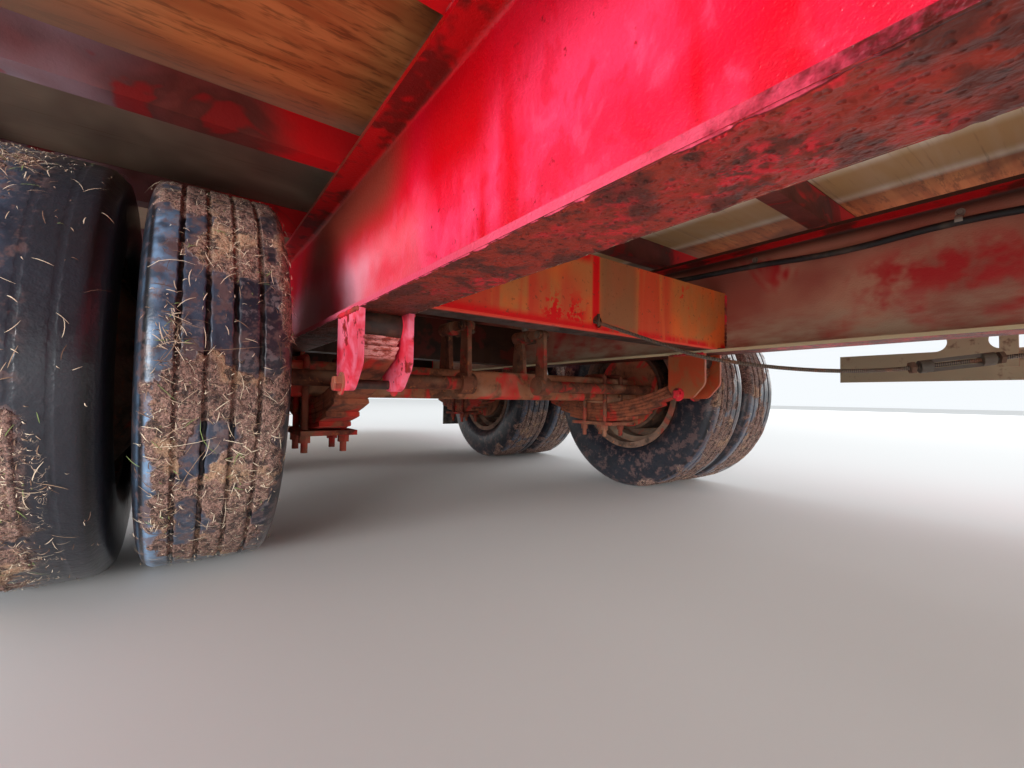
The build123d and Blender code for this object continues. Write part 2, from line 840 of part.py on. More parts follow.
# Spring clamps: two square-bend U-bolts a spring, the plate under the leaves and four nuts
leaf_foot = leaf_top - len(leaf_reaches) * leaf_thick
clamp_top = leaf_foot - seat_gap
clamp_long, clamp_wide, clamp_thick = clamp_plate
u_half = beam_width / 2 + u_bolt_radius + seat_gap
u_top = axle_height + u_half
u_across = leaf_width / 2 + u_bolt_radius + hanger_side_gap / 2
u_foot = clamp_top - clamp_thick - clamp_nut_height - u_bolt_tail
with BuildPart() as spring_clamps:
    for axle_x in axles_x:
        for side, way in sides:
            for across in (-u_across, u_across):
                lane = way * rail_centre + across
                with BuildLine() as bolt_line:
                    FilletPolyline(
                        (axle_x - u_half, lane, u_foot),
                        (axle_x - u_half, lane, u_top),
                        (axle_x + u_half, lane, u_top),
                        (axle_x + u_half, lane, u_foot),
                        radius=u_bolt_bend,
                    )
                with BuildSketch(Plane(origin=(axle_x - u_half, lane, u_foot), z_dir=(0, 0, 1))):
                    Circle(u_bolt_radius)
                sweep(path=bolt_line.line)
                for along in (-u_half, u_half):
                    with BuildSketch(Plane.XY.offset(clamp_top - clamp_thick - clamp_nut_height)):
                        with Locations((axle_x + along, lane)):
                            RegularPolygon(clamp_nut_radius, 6)
                    extrude(amount=clamp_nut_height)
            with BuildSketch(Plane.XY.offset(clamp_top - clamp_thick)):
                with Locations((axle_x, way * rail_centre)):
                    Rectangle(clamp_long, clamp_wide)
            extrude(amount=clamp_thick)
save(spring_clamps.part, "spring_clamps")

# Equalisers: rocking beams on a pin between two plates, each nose over a spring's end
nose_out, nose_height = seat_place(rocker_nose_radius)
rocker_nose = axle_spread / 2 - nose_out
rocker_pin_height = rail_foot - rocker_pin_drop
rocker_crown = nose_height + rocker_nose_radius - rocker_crown_drop
leaf_tip = axle_spread / 2 - max(leaf_reaches)
with BuildPart() as equalisers:
    for side, way in sides:
        with BuildSketch(Plane.XZ.offset(-(way * rail_centre + leaf_width / 2))):
            with BuildLine():
                shelf = nose_height + rocker_crown_drop / 2
                waist = leaf_tip - rocker_tip_gap
                Polyline(
                    (rocker_x - rocker_nose, rocker_crown),
                    (rocker_x - rocker_nose, shelf),
                    (rocker_x - waist, shelf),
                    (rocker_x - waist, shelf - rocker_web),
                    (rocker_x - rocker_boss_radius, rocker_pin_height - rocker_boss_radius / 3),
                    (rocker_x + rocker_boss_radius, rocker_pin_height - rocker_boss_radius / 3),
                    (rocker_x + waist, shelf - rocker_web),
                    (rocker_x + waist, shelf),
                    (rocker_x + rocker_nose, shelf),
                    (rocker_x + rocker_nose, rocker_crown),
                    close=True,
                )
            make_face()
            with Locations((rocker_x - rocker_nose, nose_height), (rocker_x + rocker_nose, nose_height)):
                Circle(rocker_nose_radius)
            with Locations((rocker_x, rocker_pin_height)):
                Circle(rocker_boss_radius)
        extrude(amount=leaf_width)
        pin_half = plate_inner + 2 * hanger_wall
        with BuildSketch(Plane.XZ.offset(-(way * rail_centre + pin_half))):
            with Locations((rocker_x, rocker_pin_height)):
                Circle(rocker_pin_radius)
        extrude(amount=2 * pin_half)
        for inner in (-plate_inner - hanger_wall, plate_inner):
            with BuildSketch(Plane.XZ.offset(-(way * rail_centre + inner + hanger_wall))) as plate:
                with BuildLine():
                    half = rocker_plate_length / 2
                    foot = rail_foot - rocker_plate_drop
                    Polyline(
                        (rocker_x - half, rail_foot),
                        (rocker_x - half, rail_foot - rocker_plate_step),
                        (rocker_x - rocker_plate_foot, foot),
                        (rocker_x + rocker_plate_foot, foot),
                        (rocker_x + half, rail_foot - rocker_plate_step),
                        (rocker_x + half, rail_foot),
                        close=True,
                    )
                make_face()
                fillet(plate.vertices().sort_by(Axis.Y)[:4], radius=rocker_plate_round)
            extrude(amount=hanger_wall)
save(equalisers.part, "equalisers")

# Axles: square beams with round spindles and a dust shield before each drum
spindle_end = drum_back + spindle_past_drum
with BuildPart() as axles:
    for axle_x in axles_x:
        with BuildSketch(Plane.XZ.offset(-shield_face)):
            with Locations((axle_x, axle_height)):
                RectangleRounded(beam_width, beam_width, beam_corner)
        extrude(amount=2 * shield_face)
        with BuildSketch(Plane.XZ.offset(-(rail_centre + leaf_width / 2))):
            with Locations((axle_x, axle_height - beam_width / 2)):
                Rectangle(spring_seat_long, 4 * spring_seat_thick)
            with Locations((axle_x, arc_height)):
                Circle(leaf_arc_radius - seat_gap, mode=Mode.INTERSECT)
            with Locations((axle_x, axle_height + beam_corner)):
                Rectangle(spring_seat_long, beam_width, mode=Mode.SUBTRACT)
        extrude(amount=leaf_width)
        for side, way in sides:
            for start, end, radius in (
                (shield_face, shield_face + shield_wall, shield_radius),
                (shield_face, spindle_end, spindle_radius),
            ):
                with BuildSketch(Plane.XZ.offset(-end if way > 0 else start)):
                    with Locations((axle_x, axle_height)):
                        Circle(radius)
                extrude(amount=end - start)
save(axles.part, "axles")

# Brake gear: camshaft tubes ahead of the beams, upright levers and the rams whose forks push them
with BuildPart() as brake_gear:
    for axle_x in axles_x:
        cam_x = axle_x + cam_ahead
        eye_up = axle_height + lever_length
        for (side, way), end in zip(sides, cam_ends):
            low, high = sorted((way * shield_face, end))
            with BuildSketch(Plane.XZ.offset(-high)):
                with Locations((cam_x, axle_height)):
                    Circle(cam_tube_radius)
            extrude(amount=high - low)
            boss = end + way * lever_boss_width
            with BuildSketch(Plane.XZ.offset(-max(end, boss))):
                with Locations((cam_x, axle_height)):
                    Circle(lever_boss_radius)
            extrude(amount=lever_boss_width)
            lever_y = (end + boss) / 2
            with BuildSketch(Plane.XZ.offset(-(lever_y + lever_wall / 2))):
                with BuildLine():
                    Polyline(
                        (cam_x - lever_boss_radius * 0.8, axle_height),
                        (cam_x - lever_eye_radius, eye_up),
                        (cam_x + lever_eye_radius, eye_up),
                        (cam_x + lever_boss_radius * 0.8, axle_height),
                        close=True,
                    )
                make_face()
                with Locations((cam_x, eye_up)):
                    Circle(lever_eye_radius)
            extrude(amount=lever_wall)
            fork_root = cam_x - clevis_long
            with BuildSketch(Plane.YZ.offset(fork_root)):
                with Locations((lever_y, eye_up)):
                    Circle(ram_rod_radius)
            extrude(amount=axle_x - fork_root)
            cheek = lever_wall / 2 + clevis_gap
            for near in (-cheek - clevis_wall, cheek):
                with BuildSketch(Plane.XZ.offset(-(lever_y + near + clevis_wall))):
                    with Locations((cam_x - clevis_long / 2, eye_up)):
                        SlotCenterToCenter(clevis_long, 2 * clevis_half)
                extrude(amount=clevis_wall)
            with BuildSketch(Plane.YZ.offset(fork_root - clevis_half)):
                with Locations((lever_y, eye_up)):
                    Rectangle(2 * (cheek + clevis_wall), clevis_half)
            extrude(amount=clevis_half)
            pin_half = cheek + clevis_wall + clevis_pin_radius / 2
            with BuildSketch(Plane.XZ.offset(-(lever_y + pin_half))):
                with Locations((cam_x, eye_up)):
                    Circle(clevis_pin_radius)
            extrude(amount=2 * pin_half)
            with BuildSketch(Plane.YZ.offset(axle_x - ram_bracket_back)):
                with Locations((lever_y, eye_up)):
                    Circle(ram_radius)
            extrude(amount=ram_length)
            with BuildSketch(Plane.XZ.offset(-(lever_y + lever_wall / 2))):
                with BuildLine():
                    Polyline(
                        (axle_x - beam_width / 2 + beam_corner, axle_height + beam_width / 2),
                        (axle_x - ram_bracket_back, eye_up),
                        (axle_x + ram_bracket_back, eye_up),
                        (axle_x + beam_width / 2 - beam_corner, axle_height + beam_width / 2),
                        close=True,
                    )
                make_face()
            extrude(amount=lever_wall)
            bracket_y = way * cam_bracket_across
            with BuildSketch(Plane.XZ.offset(-(bracket_y + lever_wall / 2))):
                with Locations((axle_x + (cam_ahead + beam_width / 2) / 2, axle_height)):
                    Rectangle(cam_ahead - beam_width / 2, 2 * cam_tube_radius)
            extrude(amount=lever_wall)
save(brake_gear.part, "brake_gear")

# Hubs with their drums, pairs of rims and pairs of tyres at the four stations
mount_face = inner_wheel_centre + wheel_spacing / 2
tyre_lip = bead_radius + rim_flange_height + 1
for axle_name, axle_x in (("front", axles_x[0]), ("rear", axles_x[1])):
    for side, way in sides:
        station = axle_name + "_" + side
        radial = Plane(origin=(axle_x, 0, axle_height), x_dir=(0, way, 0), z_dir=(way, 0, 0))
        spin = Axis((axle_x, 0, axle_height), (0, 1, 0))
        with BuildPart() as hub:
            with BuildSketch(radial):
                with BuildLine():
                    bore = spindle_radius + bearing_gap
                    cap = spindle_end + hub_cap_wall
                    spigot_end = mount_face + disc_wall + hub_spigot_long
                    Polyline(
                        (drum_mouth, drum_radius - drum_wall),
                        (drum_mouth, drum_radius),
                        (drum_back, drum_radius),
                        (drum_back, disc_flat_radius),
                        (mount_face - disc_wall, disc_flat_radius),
                        (mount_face - disc_wall, hub_spigot_radius),
                        (spigot_end, hub_spigot_radius),
                        (spigot_end + hub_cap_wall, hub_body_radius),
                        (cap + hub_cap_wall, hub_cap_radius),
                        (cap + 2 * hub_cap_wall, 0),
                        (cap, 0),
                        (cap, bore),
                        (drum_mouth + hub_cap_wall, bore),
                        (drum_mouth + hub_cap_wall, hub_body_radius),
                        (drum_back - drum_wall, hub_body_radius + hub_flare),
                        (drum_back - drum_wall, drum_radius - drum_wall),
                        close=True,
                    )
                make_face()
            revolve(axis=spin)
        save(hub.part, "hub_" + station)
        with BuildPart() as rims:
            for centre, face in ((inner_wheel_centre, 1), (inner_wheel_centre + wheel_spacing, -1)):
                seat = bead_radius - seat_gap
                bore = seat - rim_wall
                edge = rim_half_width + rim_wall
                well = rim_half_width / 3
                well_top = rim_well_taper * well
                with BuildSketch(radial):
                    with BuildLine():
                        Polyline(
                            (centre - edge, seat + rim_flange_height),
                            (centre - rim_half_width, seat + rim_flange_height),
                            (centre - rim_half_width, seat),
                            (centre - well_top, seat),
                            (centre - well, seat - rim_well_depth),
                            (centre + well, seat - rim_well_depth),
                            (centre + well_top, seat),
                            (centre + rim_half_width, seat),
                            (centre + rim_half_width, seat + rim_flange_height),
                            (centre + edge, seat + rim_flange_height),
                            (centre + edge, bore),
                            (centre + well_top, bore),
                            (centre + well, bore - rim_well_depth),
                            (centre - well, bore - rim_well_depth),
                            (centre - well_top, bore),
                            (centre - edge, bore),
                            close=True,
                        )
                    make_face()
                    with BuildLine():
                        reach = wheel_spacing / 2
                        rim_end = reach - rim_disc_dish
                        Polyline(
                            (centre + face * (rim_end - disc_wall), seat - rim_wall / 2),
                            (centre + face * rim_end, seat - rim_wall / 2),
                            (centre + face * reach, disc_flat_radius + disc_wall / 2),
                            (centre + face * reach, disc_bore),
                            (centre + face * (reach - disc_wall), disc_bore),
                            (centre + face * (reach - disc_wall), disc_flat_radius),
                            close=True,
                        )
                    make_face()
                revolve(axis=spin)
            with BuildSketch(radial.offset(mount_face - hand_hole_reach)):
                with PolarLocations(hand_hole_circle, hand_hole_count):
                    Circle(hand_hole_radius)
            extrude(amount=2 * hand_hole_reach, mode=Mode.SUBTRACT)
        save(rims.part, "rims_" + station)
        with BuildPart() as tyres:
            for centre in (inner_wheel_centre, inner_wheel_centre + wheel_spacing):
                with BuildSketch(radial):
                    with BuildLine():
                        Polyline(
                            (centre - bead_half_width, bead_radius),
                            (centre - bead_half_width, tyre_lip),
                            (centre - tyre_half_width, tyre_widest_radius),
                            (centre - shoulder_half_width, tyre_radius - shoulder_drop),
                            (centre - tread_half_width, tyre_radius),
                            (centre + tread_half_width, tyre_radius),
                            (centre + shoulder_half_width, tyre_radius - shoulder_drop),
                            (centre + tyre_half_width, tyre_widest_radius),
                            (centre + bead_half_width, tyre_lip),
                            (centre + bead_half_width, bead_radius),
                            close=True,
                        )
                    make_face()
                revolve(axis=spin)
        save(tyres.part, "tyres_" + station)

# Ramps: two side channels with angle rungs, stowed upright and leaning on their stops
ramp_foot = ramp_surface - ramp_depth
blade_low = ramp_surface - ramp_blade
drop = hinge_z - ramp_toe_clear
lowered_slope = asin(drop / sqrt(ramp_length**2 + blade_low**2)) + atan2(blade_low, ramp_length)
bevel_rate = 1 / tan(lowered_slope)
rung_count = int((ramp_length - rung_first - rung_leg) / rung_pitch) + 1
for side, way in sides:
    middle = way * ramp_centre
    with BuildPart() as ramp:
        for flank in (-1, 1):
            web_outer = middle + flank * ramp_width / 2
            for wall_from, wall_to, low, high, start in (
                (web_outer, web_outer - flank * ramp_wall, ramp_foot, ramp_surface, -ramp_heel),
                (
                    web_outer,
                    web_outer - flank * ramp_channel,
                    ramp_surface - ramp_wall,
                    ramp_surface,
                    rung_first - rung_leg,
                ),
                (
                    web_outer,
                    web_outer - flank * ramp_channel,
                    ramp_foot,
                    ramp_foot + ramp_wall,
                    rung_first - rung_leg,
                ),
            ):
                with BuildSketch(ramp_plan.offset(min(wall_from, wall_to))):
                    with BuildLine():
                        nib = ramp_heel_chamfer if start < 0 else 0
                        tip_high = ramp_length - max(blade_low - high, 0) * bevel_rate
                        tip_low = ramp_length - max(blade_low - low, 0) * bevel_rate
                        outline = [(start, low), (start, high - nib)]
                        if nib:
                            outline.append((start + nib, high))
                        outline.append((tip_high, high))
                        if high > blade_low > low:
                            outline.append((ramp_length, blade_low))
                        outline.append((tip_low, low))
                        Polyline(*outline, close=True)
                    make_face()
                extrude(amount=abs(wall_from - wall_to))
        for rung in range(rung_count):
            along = rung_first + rung * rung_pitch
            with BuildSketch(ramp_plan.offset(middle - ramp_width / 2 + ramp_wall)):
                with BuildLine():
                    Polyline(
                        (along, ramp_surface),
                        (along + rung_leg, ramp_surface),
                        (along + rung_leg, ramp_surface - rung_wall),
                        (along + rung_wall, ramp_surface - rung_wall),
                        (along + rung_wall, ramp_surface - rung_leg),
                        (along, ramp_surface - rung_leg),
                        close=True,
                    )
                make_face()
            extrude(amount=ramp_width - 2 * ramp_wall)
        with BuildSketch(ramp_plan.offset(middle - ramp_width / 2)):
            Circle(hinge_pin_radius + hinge_fit)
        extrude(amount=ramp_width, mode=Mode.SUBTRACT)
    save(ramp.part, "ramp_" + side)

# Side guards: slotted plates ahead of the wheels, hung from the raves by flat bars
guard_rear = front_axle + guard_rear_ahead
guard_face = deck_half - guard_inset
slot_count = int((guard_length - slot_length) / slot_pitch) + 1
bar_pitch = board_bays * bearer_pitch
bar_count = int((guard_length - guard_bar_first - guard_bar_width) / bar_pitch) + 1
for side, way in sides:
    with BuildPart() as side_guard:
        with BuildSketch(Plane.XZ.offset(-(way * (guard_face - guard_wall / 2) + guard_wall / 2))):
            with Locations((guard_rear + guard_length / 2, guard_foot + guard_height / 2)):
                Rectangle(guard_length, guard_height)
            for slot in range(slot_count):
                middle = guard_rear + slot * slot_pitch + slot_length / 2
                shift = 0 if slot else slot_height / 2
                with Locations((middle - shift, guard_foot + slot_foot + slot_height / 2)):
                    SlotOverall(slot_length + 2 * shift, slot_height, mode=Mode.SUBTRACT)
        extrude(amount=guard_wall)
        for bar in range(bar_count):
            bar_x = guard_rear + guard_bar_first + bar * bar_pitch
            with BuildSketch(Plane.XY.offset(guard_foot + guard_bar_foot)):
                with Locations((bar_x, way * (guard_face - guard_wall - guard_bar_wall / 2))):
                    Rectangle(guard_bar_width, guard_bar_wall)
            extrude(amount=rail_top - rave_wall - guard_foot - guard_bar_foot)
    save(side_guard.part, "side_guard_" + side)

# Mudflaps: rubber sheets under one bearer, behind the rear wheels
flap_limit = axles_x[1] - tyre_radius - flap_clearance
flap_bearer = max(face for face in bearer_faces if face < flap_limit)
flap_face = flap_bearer - bearer_flange / 2 + flap_wall / 2
flap_middle = inner_wheel_centre + wheel_spacing / 2
with BuildPart() as mudflaps:
    for side, way in sides:
        with BuildSketch(Plane.XY.offset(flap_foot)):
            with Locations((flap_face - flap_wall / 2, way * flap_middle)):
                Rectangle(flap_wall, flap_width)
        extrude(amount=rail_top - flap_foot)
save(mudflaps.part, "mudflaps")

# Tail lamps: rounded housings on the outer ends of the end plate
lamp_middle = deck_half - lamp_wide / 2 - lamp_inset
with BuildPart() as tail_lamps:
    for side, way in sides:
        with BuildSketch(Plane.YZ.offset(tail_end - end_plate_wall)):
            with Locations((way * lamp_middle, tail_top_end - lamp_drop - lamp_high / 2)):
                RectangleRounded(lamp_wide, lamp_high, lamp_corner)
        extrude(amount=-lamp_deep)
save(tail_lamps.part, "tail_lamps")

# Handbrake: a lever and toothed quadrant on an arm from the drawbar's left leg
with BuildPart() as handbrake:
    with BuildSketch(Plane.XZ.offset(-(lever_lane + handbrake_wall))):
        with Locations((lever_x, handbrake_pivot)):
            Circle(quadrant_radius)
        with Locations((lever_x, handbrake_pivot - quadrant_radius)):
            Rectangle(2 * quadrant_radius, 2 * quadrant_radius - 2 * handbrake_arm, mode=Mode.SUBTRACT)
    extrude(amount=handbrake_wall)
    with BuildSketch(Plane.XZ.offset(-(lever_lane + 2 * handbrake_wall))):
        with BuildLine():
            half = handbrake_bar / 2
            grip_x = lever_x - handbrake_lean
            Polyline(
                (lever_x - half, cable_height),
                (lever_x - half, handbrake_pivot),
                (grip_x - half, handbrake_top),
                (grip_x + half, handbrake_top),
                (lever_x + half, handbrake_pivot),
                (lever_x + half, cable_height),
                close=True,
            )
        make_face()
        with Locations((lever_x, cable_height)):
            Circle(half)
    extrude(amount=handbrake_wall)
save(handbrake.part, "handbrake_lever")


def bend_radii(points):
    """Radius of each arc of a cord: as large as the two runs beside its corner allow."""
    radii = []
    for before, here, after in zip(points, points[1:], points[2:]):
        run_in = Vector(here) - Vector(before)
        run_out = Vector(after) - Vector(here)
        shorter = min(run_in.length, run_out.length)
        radii.append(0.45 * shorter / tan(radians(run_in.get_angle(run_out)) / 2))
    return radii


# Handbrake cable: hooked through the cross-member, sagging to a turnbuckle, then forward to the lever
hook_x = front_axle + cross_ahead
cable_points = [(hook_x + ahead, left, up) for ahead, left, up in cable_route]
lever_foot = lever_x - handbrake_bar / 2 - seat_gap
cable_points.append((lever_foot, lever_lane + 1.5 * handbrake_wall, cable_height))
with BuildPart() as handbrake_cable:
    with BuildLine() as cable_line:
        FilletPolyline(*cable_points, radius=bend_radii(cable_points))
    with BuildSketch(Plane(origin=cable_points[0], z_dir=cable_line.line % 0)):
        Circle(cable_radius)
    sweep(path=cable_line.line)
save(handbrake_cable.part, "handbrake_cable")

# Cable strainer: two bosses joined by a pair of bars, on the straight run after the sag
strainer_from = Vector(*cable_points[strainer_run])
strainer_way = (Vector(*cable_points[strainer_run + 1]) - strainer_from).normalized()
strainer_foot = strainer_from + strainer_way * strainer_from_run
strainer_plan = Plane(origin=strainer_foot, x_dir=(0, 0, 1), z_dir=strainer_way)
strainer_bars = strainer_boss_radius - strainer_bar / 2
with BuildPart() as cable_strainer:
    for along in (0, strainer_long - strainer_boss_long):
        with BuildSketch(strainer_plan.offset(along)):
            Circle(strainer_boss_radius)
        extrude(amount=strainer_boss_long)
    with BuildSketch(strainer_plan.offset(strainer_boss_long / 2)):
        with Locations((-strainer_bars, 0), (strainer_bars, 0)):
            Rectangle(strainer_bar, strainer_bar)
    extrude(amount=strainer_long - strainer_boss_long)
    with BuildSketch(strainer_plan):
        Circle(cable_radius + seat_gap)
    extrude(amount=strainer_long, mode=Mode.SUBTRACT)
save(cable_strainer.part, "cable_strainer")

# Brake hose: clipped along the left rail's inner web, sagging between clips, then over to the first ram
hose_lane = rail_centre - rail_web / 2 - hose_radius - hose_stand_off
ram_lane = cam_ends[0] + lever_boss_width / 2
ram_top = axle_height + lever_length + ram_radius
hose_start = deck_front - headstock_wall - hose_end_gap
last_clip = hook_x + hose_first_clip
hose_points = [(hose_start, hose_lane, hose_clip_height)]
for clip in range(int((hose_start - last_clip) / hose_clip_pitch) - 1, -1, -1):
    clip_x = last_clip + clip * hose_clip_pitch
    sag_x = (hose_points[-1][0] + clip_x) / 2
    hose_points.append((sag_x, hose_lane, hose_clip_height - hose_sag))
    hose_points.append((clip_x, hose_lane, hose_clip_height))
for ahead, left, up in hose_drop_route:
    hose_points.append((hook_x + ahead, ram_lane + left, hose_clip_height + up))
hose_points.append((hose_points[-1][0], ram_lane, ram_top))
with BuildPart() as brake_hose:
    with BuildLine() as hose_line:
        FilletPolyline(*hose_points, radius=bend_radii(hose_points))
    with BuildSketch(Plane(origin=hose_points[0], z_dir=hose_line.line % 0)):
        Circle(hose_radius)
    sweep(path=hose_line.line)
save(brake_hose.part, "brake_hose")

for name, cord, line, points, radius in (
    ("handbrake cable", handbrake_cable, cable_line, cable_points, cable_radius),
    ("brake hose", brake_hose, hose_line, hose_points, hose_radius),
):
    ratio = cord.part.volume / (pi * radius**2 * line.wires()[0].length)
    print(name, "radii", [round(bend) for bend in bend_radii(points)], "volume ratio", round(ratio, 4))
print("ramp range in degrees", 90 + ramp_lean + degrees(lowered_slope))
print("front axle", front_axle, "hinge", hinge_x, hinge_z, "jack", jack_x, "lever", lever_x, lever_lane)
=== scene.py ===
import bpy
import bmesh
import math
import random
from mathutils import Matrix, Vector, noise as field


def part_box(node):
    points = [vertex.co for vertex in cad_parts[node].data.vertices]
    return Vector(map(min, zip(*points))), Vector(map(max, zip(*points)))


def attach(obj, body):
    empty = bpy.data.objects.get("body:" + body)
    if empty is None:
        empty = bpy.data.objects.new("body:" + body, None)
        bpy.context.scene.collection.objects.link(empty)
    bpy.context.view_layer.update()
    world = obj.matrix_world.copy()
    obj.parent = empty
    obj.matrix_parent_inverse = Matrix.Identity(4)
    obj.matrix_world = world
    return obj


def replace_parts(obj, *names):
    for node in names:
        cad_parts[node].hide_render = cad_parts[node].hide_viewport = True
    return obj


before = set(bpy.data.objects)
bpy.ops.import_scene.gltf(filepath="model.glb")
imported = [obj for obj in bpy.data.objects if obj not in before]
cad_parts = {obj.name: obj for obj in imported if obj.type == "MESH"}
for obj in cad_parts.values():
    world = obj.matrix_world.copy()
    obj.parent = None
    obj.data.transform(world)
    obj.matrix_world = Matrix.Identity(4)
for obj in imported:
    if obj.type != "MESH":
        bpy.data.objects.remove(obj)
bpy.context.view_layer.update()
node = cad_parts


# Camera: it stands low beside the right main rail, ahead of the front axle, and looks back and
# across under the deck, as the photograph does. Its turn and lens come from the straight members.
front_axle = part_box("axles")[1].x - 0.150
yaw, pitch, roll = math.radians(36.449), math.radians(1.8575), math.radians(0.951)
ahead = Vector((-math.cos(yaw) * math.cos(pitch), math.sin(yaw) * math.cos(pitch), math.sin(pitch)))
across = Vector((math.sin(yaw), math.cos(yaw), 0))
upward = across.cross(ahead)
right_way = across * math.cos(roll) + upward * math.sin(roll)
up_way = upward * math.cos(roll) - across * math.sin(roll)
camera_data = bpy.data.cameras.new("view")
focal, picture_wide = 445.38, 1024               # in pixels
camera_data.sensor_width = 36
camera_data.lens = camera_data.sensor_width * focal / picture_wide
camera_data.clip_start = 0.02
camera = bpy.data.objects.new("view", camera_data)
camera.matrix_world = Matrix.Translation((front_axle + 1.2267, -0.8244, 0.3578)) @ Matrix(
    (right_way, up_way, -ahead)).transposed().to_4x4()
bpy.context.scene.collection.objects.link(camera)
bpy.context.scene.camera = camera


# Floor and light: a pale floor all round, an even white sky, and three broad soft lamps that stand
# low, well back at both sides and in front, so that they and the floor's bounce reach the underside.
scene = bpy.context.scene
scene.view_settings.view_transform = "Standard"
floor_half, floor_level = 60.0, -0.0005
floor_mesh = bpy.data.meshes.new("floor")
corners = [(x * floor_half, y * floor_half, floor_level) for x, y in ((-1, -1), (1, -1), (1, 1), (-1, 1))]
floor_mesh.from_pydata(corners, [], [(0, 1, 2, 3)])
floor = bpy.data.objects.new("floor", floor_mesh)
scene.collection.objects.link(floor)
floor_paint = bpy.data.materials.new("pale_floor")
floor_paint.use_nodes = True
floor_paint.node_tree.nodes["Principled BSDF"].inputs["Roughness"].default_value = 0.9
floor_mesh.materials.append(floor_paint)
floor_nodes = floor_paint.node_tree
seen = floor_nodes.nodes.new("ShaderNodeLightPath")
pale = floor_nodes.nodes.new("ShaderNodeMixRGB")
pale.inputs["Color1"].default_value = (0.92, 0.915, 0.90, 1)
pale.inputs["Color2"].default_value = (0.70, 0.698, 0.69, 1)
floor_nodes.links.new(seen.outputs["Is Camera Ray"], pale.inputs["Fac"])
floor_nodes.links.new(pale.outputs[0], floor_nodes.nodes["Principled BSDF"].inputs["Base Color"])
world = bpy.data.worlds.new("sky")
scene.world = world
world.use_nodes = True
sky = world.node_tree.nodes["Background"]
sky.inputs["Color"].default_value = (0.93, 0.97, 1.0, 1)
sky.inputs["Strength"].default_value = 1.0
for name, place, aim, wide, tall, power in (
    ("lamp_right", (11.4, -17.7, 3.3), (-0.6, -0.5, 0.6), 17.0, 5.0, 7400),
    ("lamp_left", (-0.4, 24.5, 7.3), (-1.2, 0.5, 0.5), 20.0, 11.0, 3000),
    ("lamp_front", (24.0, 1.5, 4.2), (0.0, 0.0, 0.6), 12.0, 6.0, 3800),
):
    lamp_data = bpy.data.lights.new(name, "AREA")
    lamp_data.shape = "RECTANGLE"
    lamp_data.size = wide
    lamp_data.size_y = tall
    lamp_data.energy = power
    lamp = bpy.data.objects.new(name, lamp_data)
    lamp.location = place
    lamp.rotation_euler = (Vector(aim) - Vector(place)).to_track_quat("-Z", "Y").to_euler()
    scene.collection.objects.link(lamp)


# Main rails: rolled I-beams, sprayed bright red once and left outdoors since. Their outer webs
# kept the paint, the inner webs are brown with road dirt, and the feet are rusty and pitted.
def tone(red, green, blue):
    """A colour as the eye reads it, 0 to 255, turned into the shader's own numbers."""
    shares = [part / 255 for part in (red, green, blue)]
    return tuple(s / 12.92 if s < 0.0431 else ((s + 0.055) / 1.055) ** 2.4 for s in shares) + (1,)


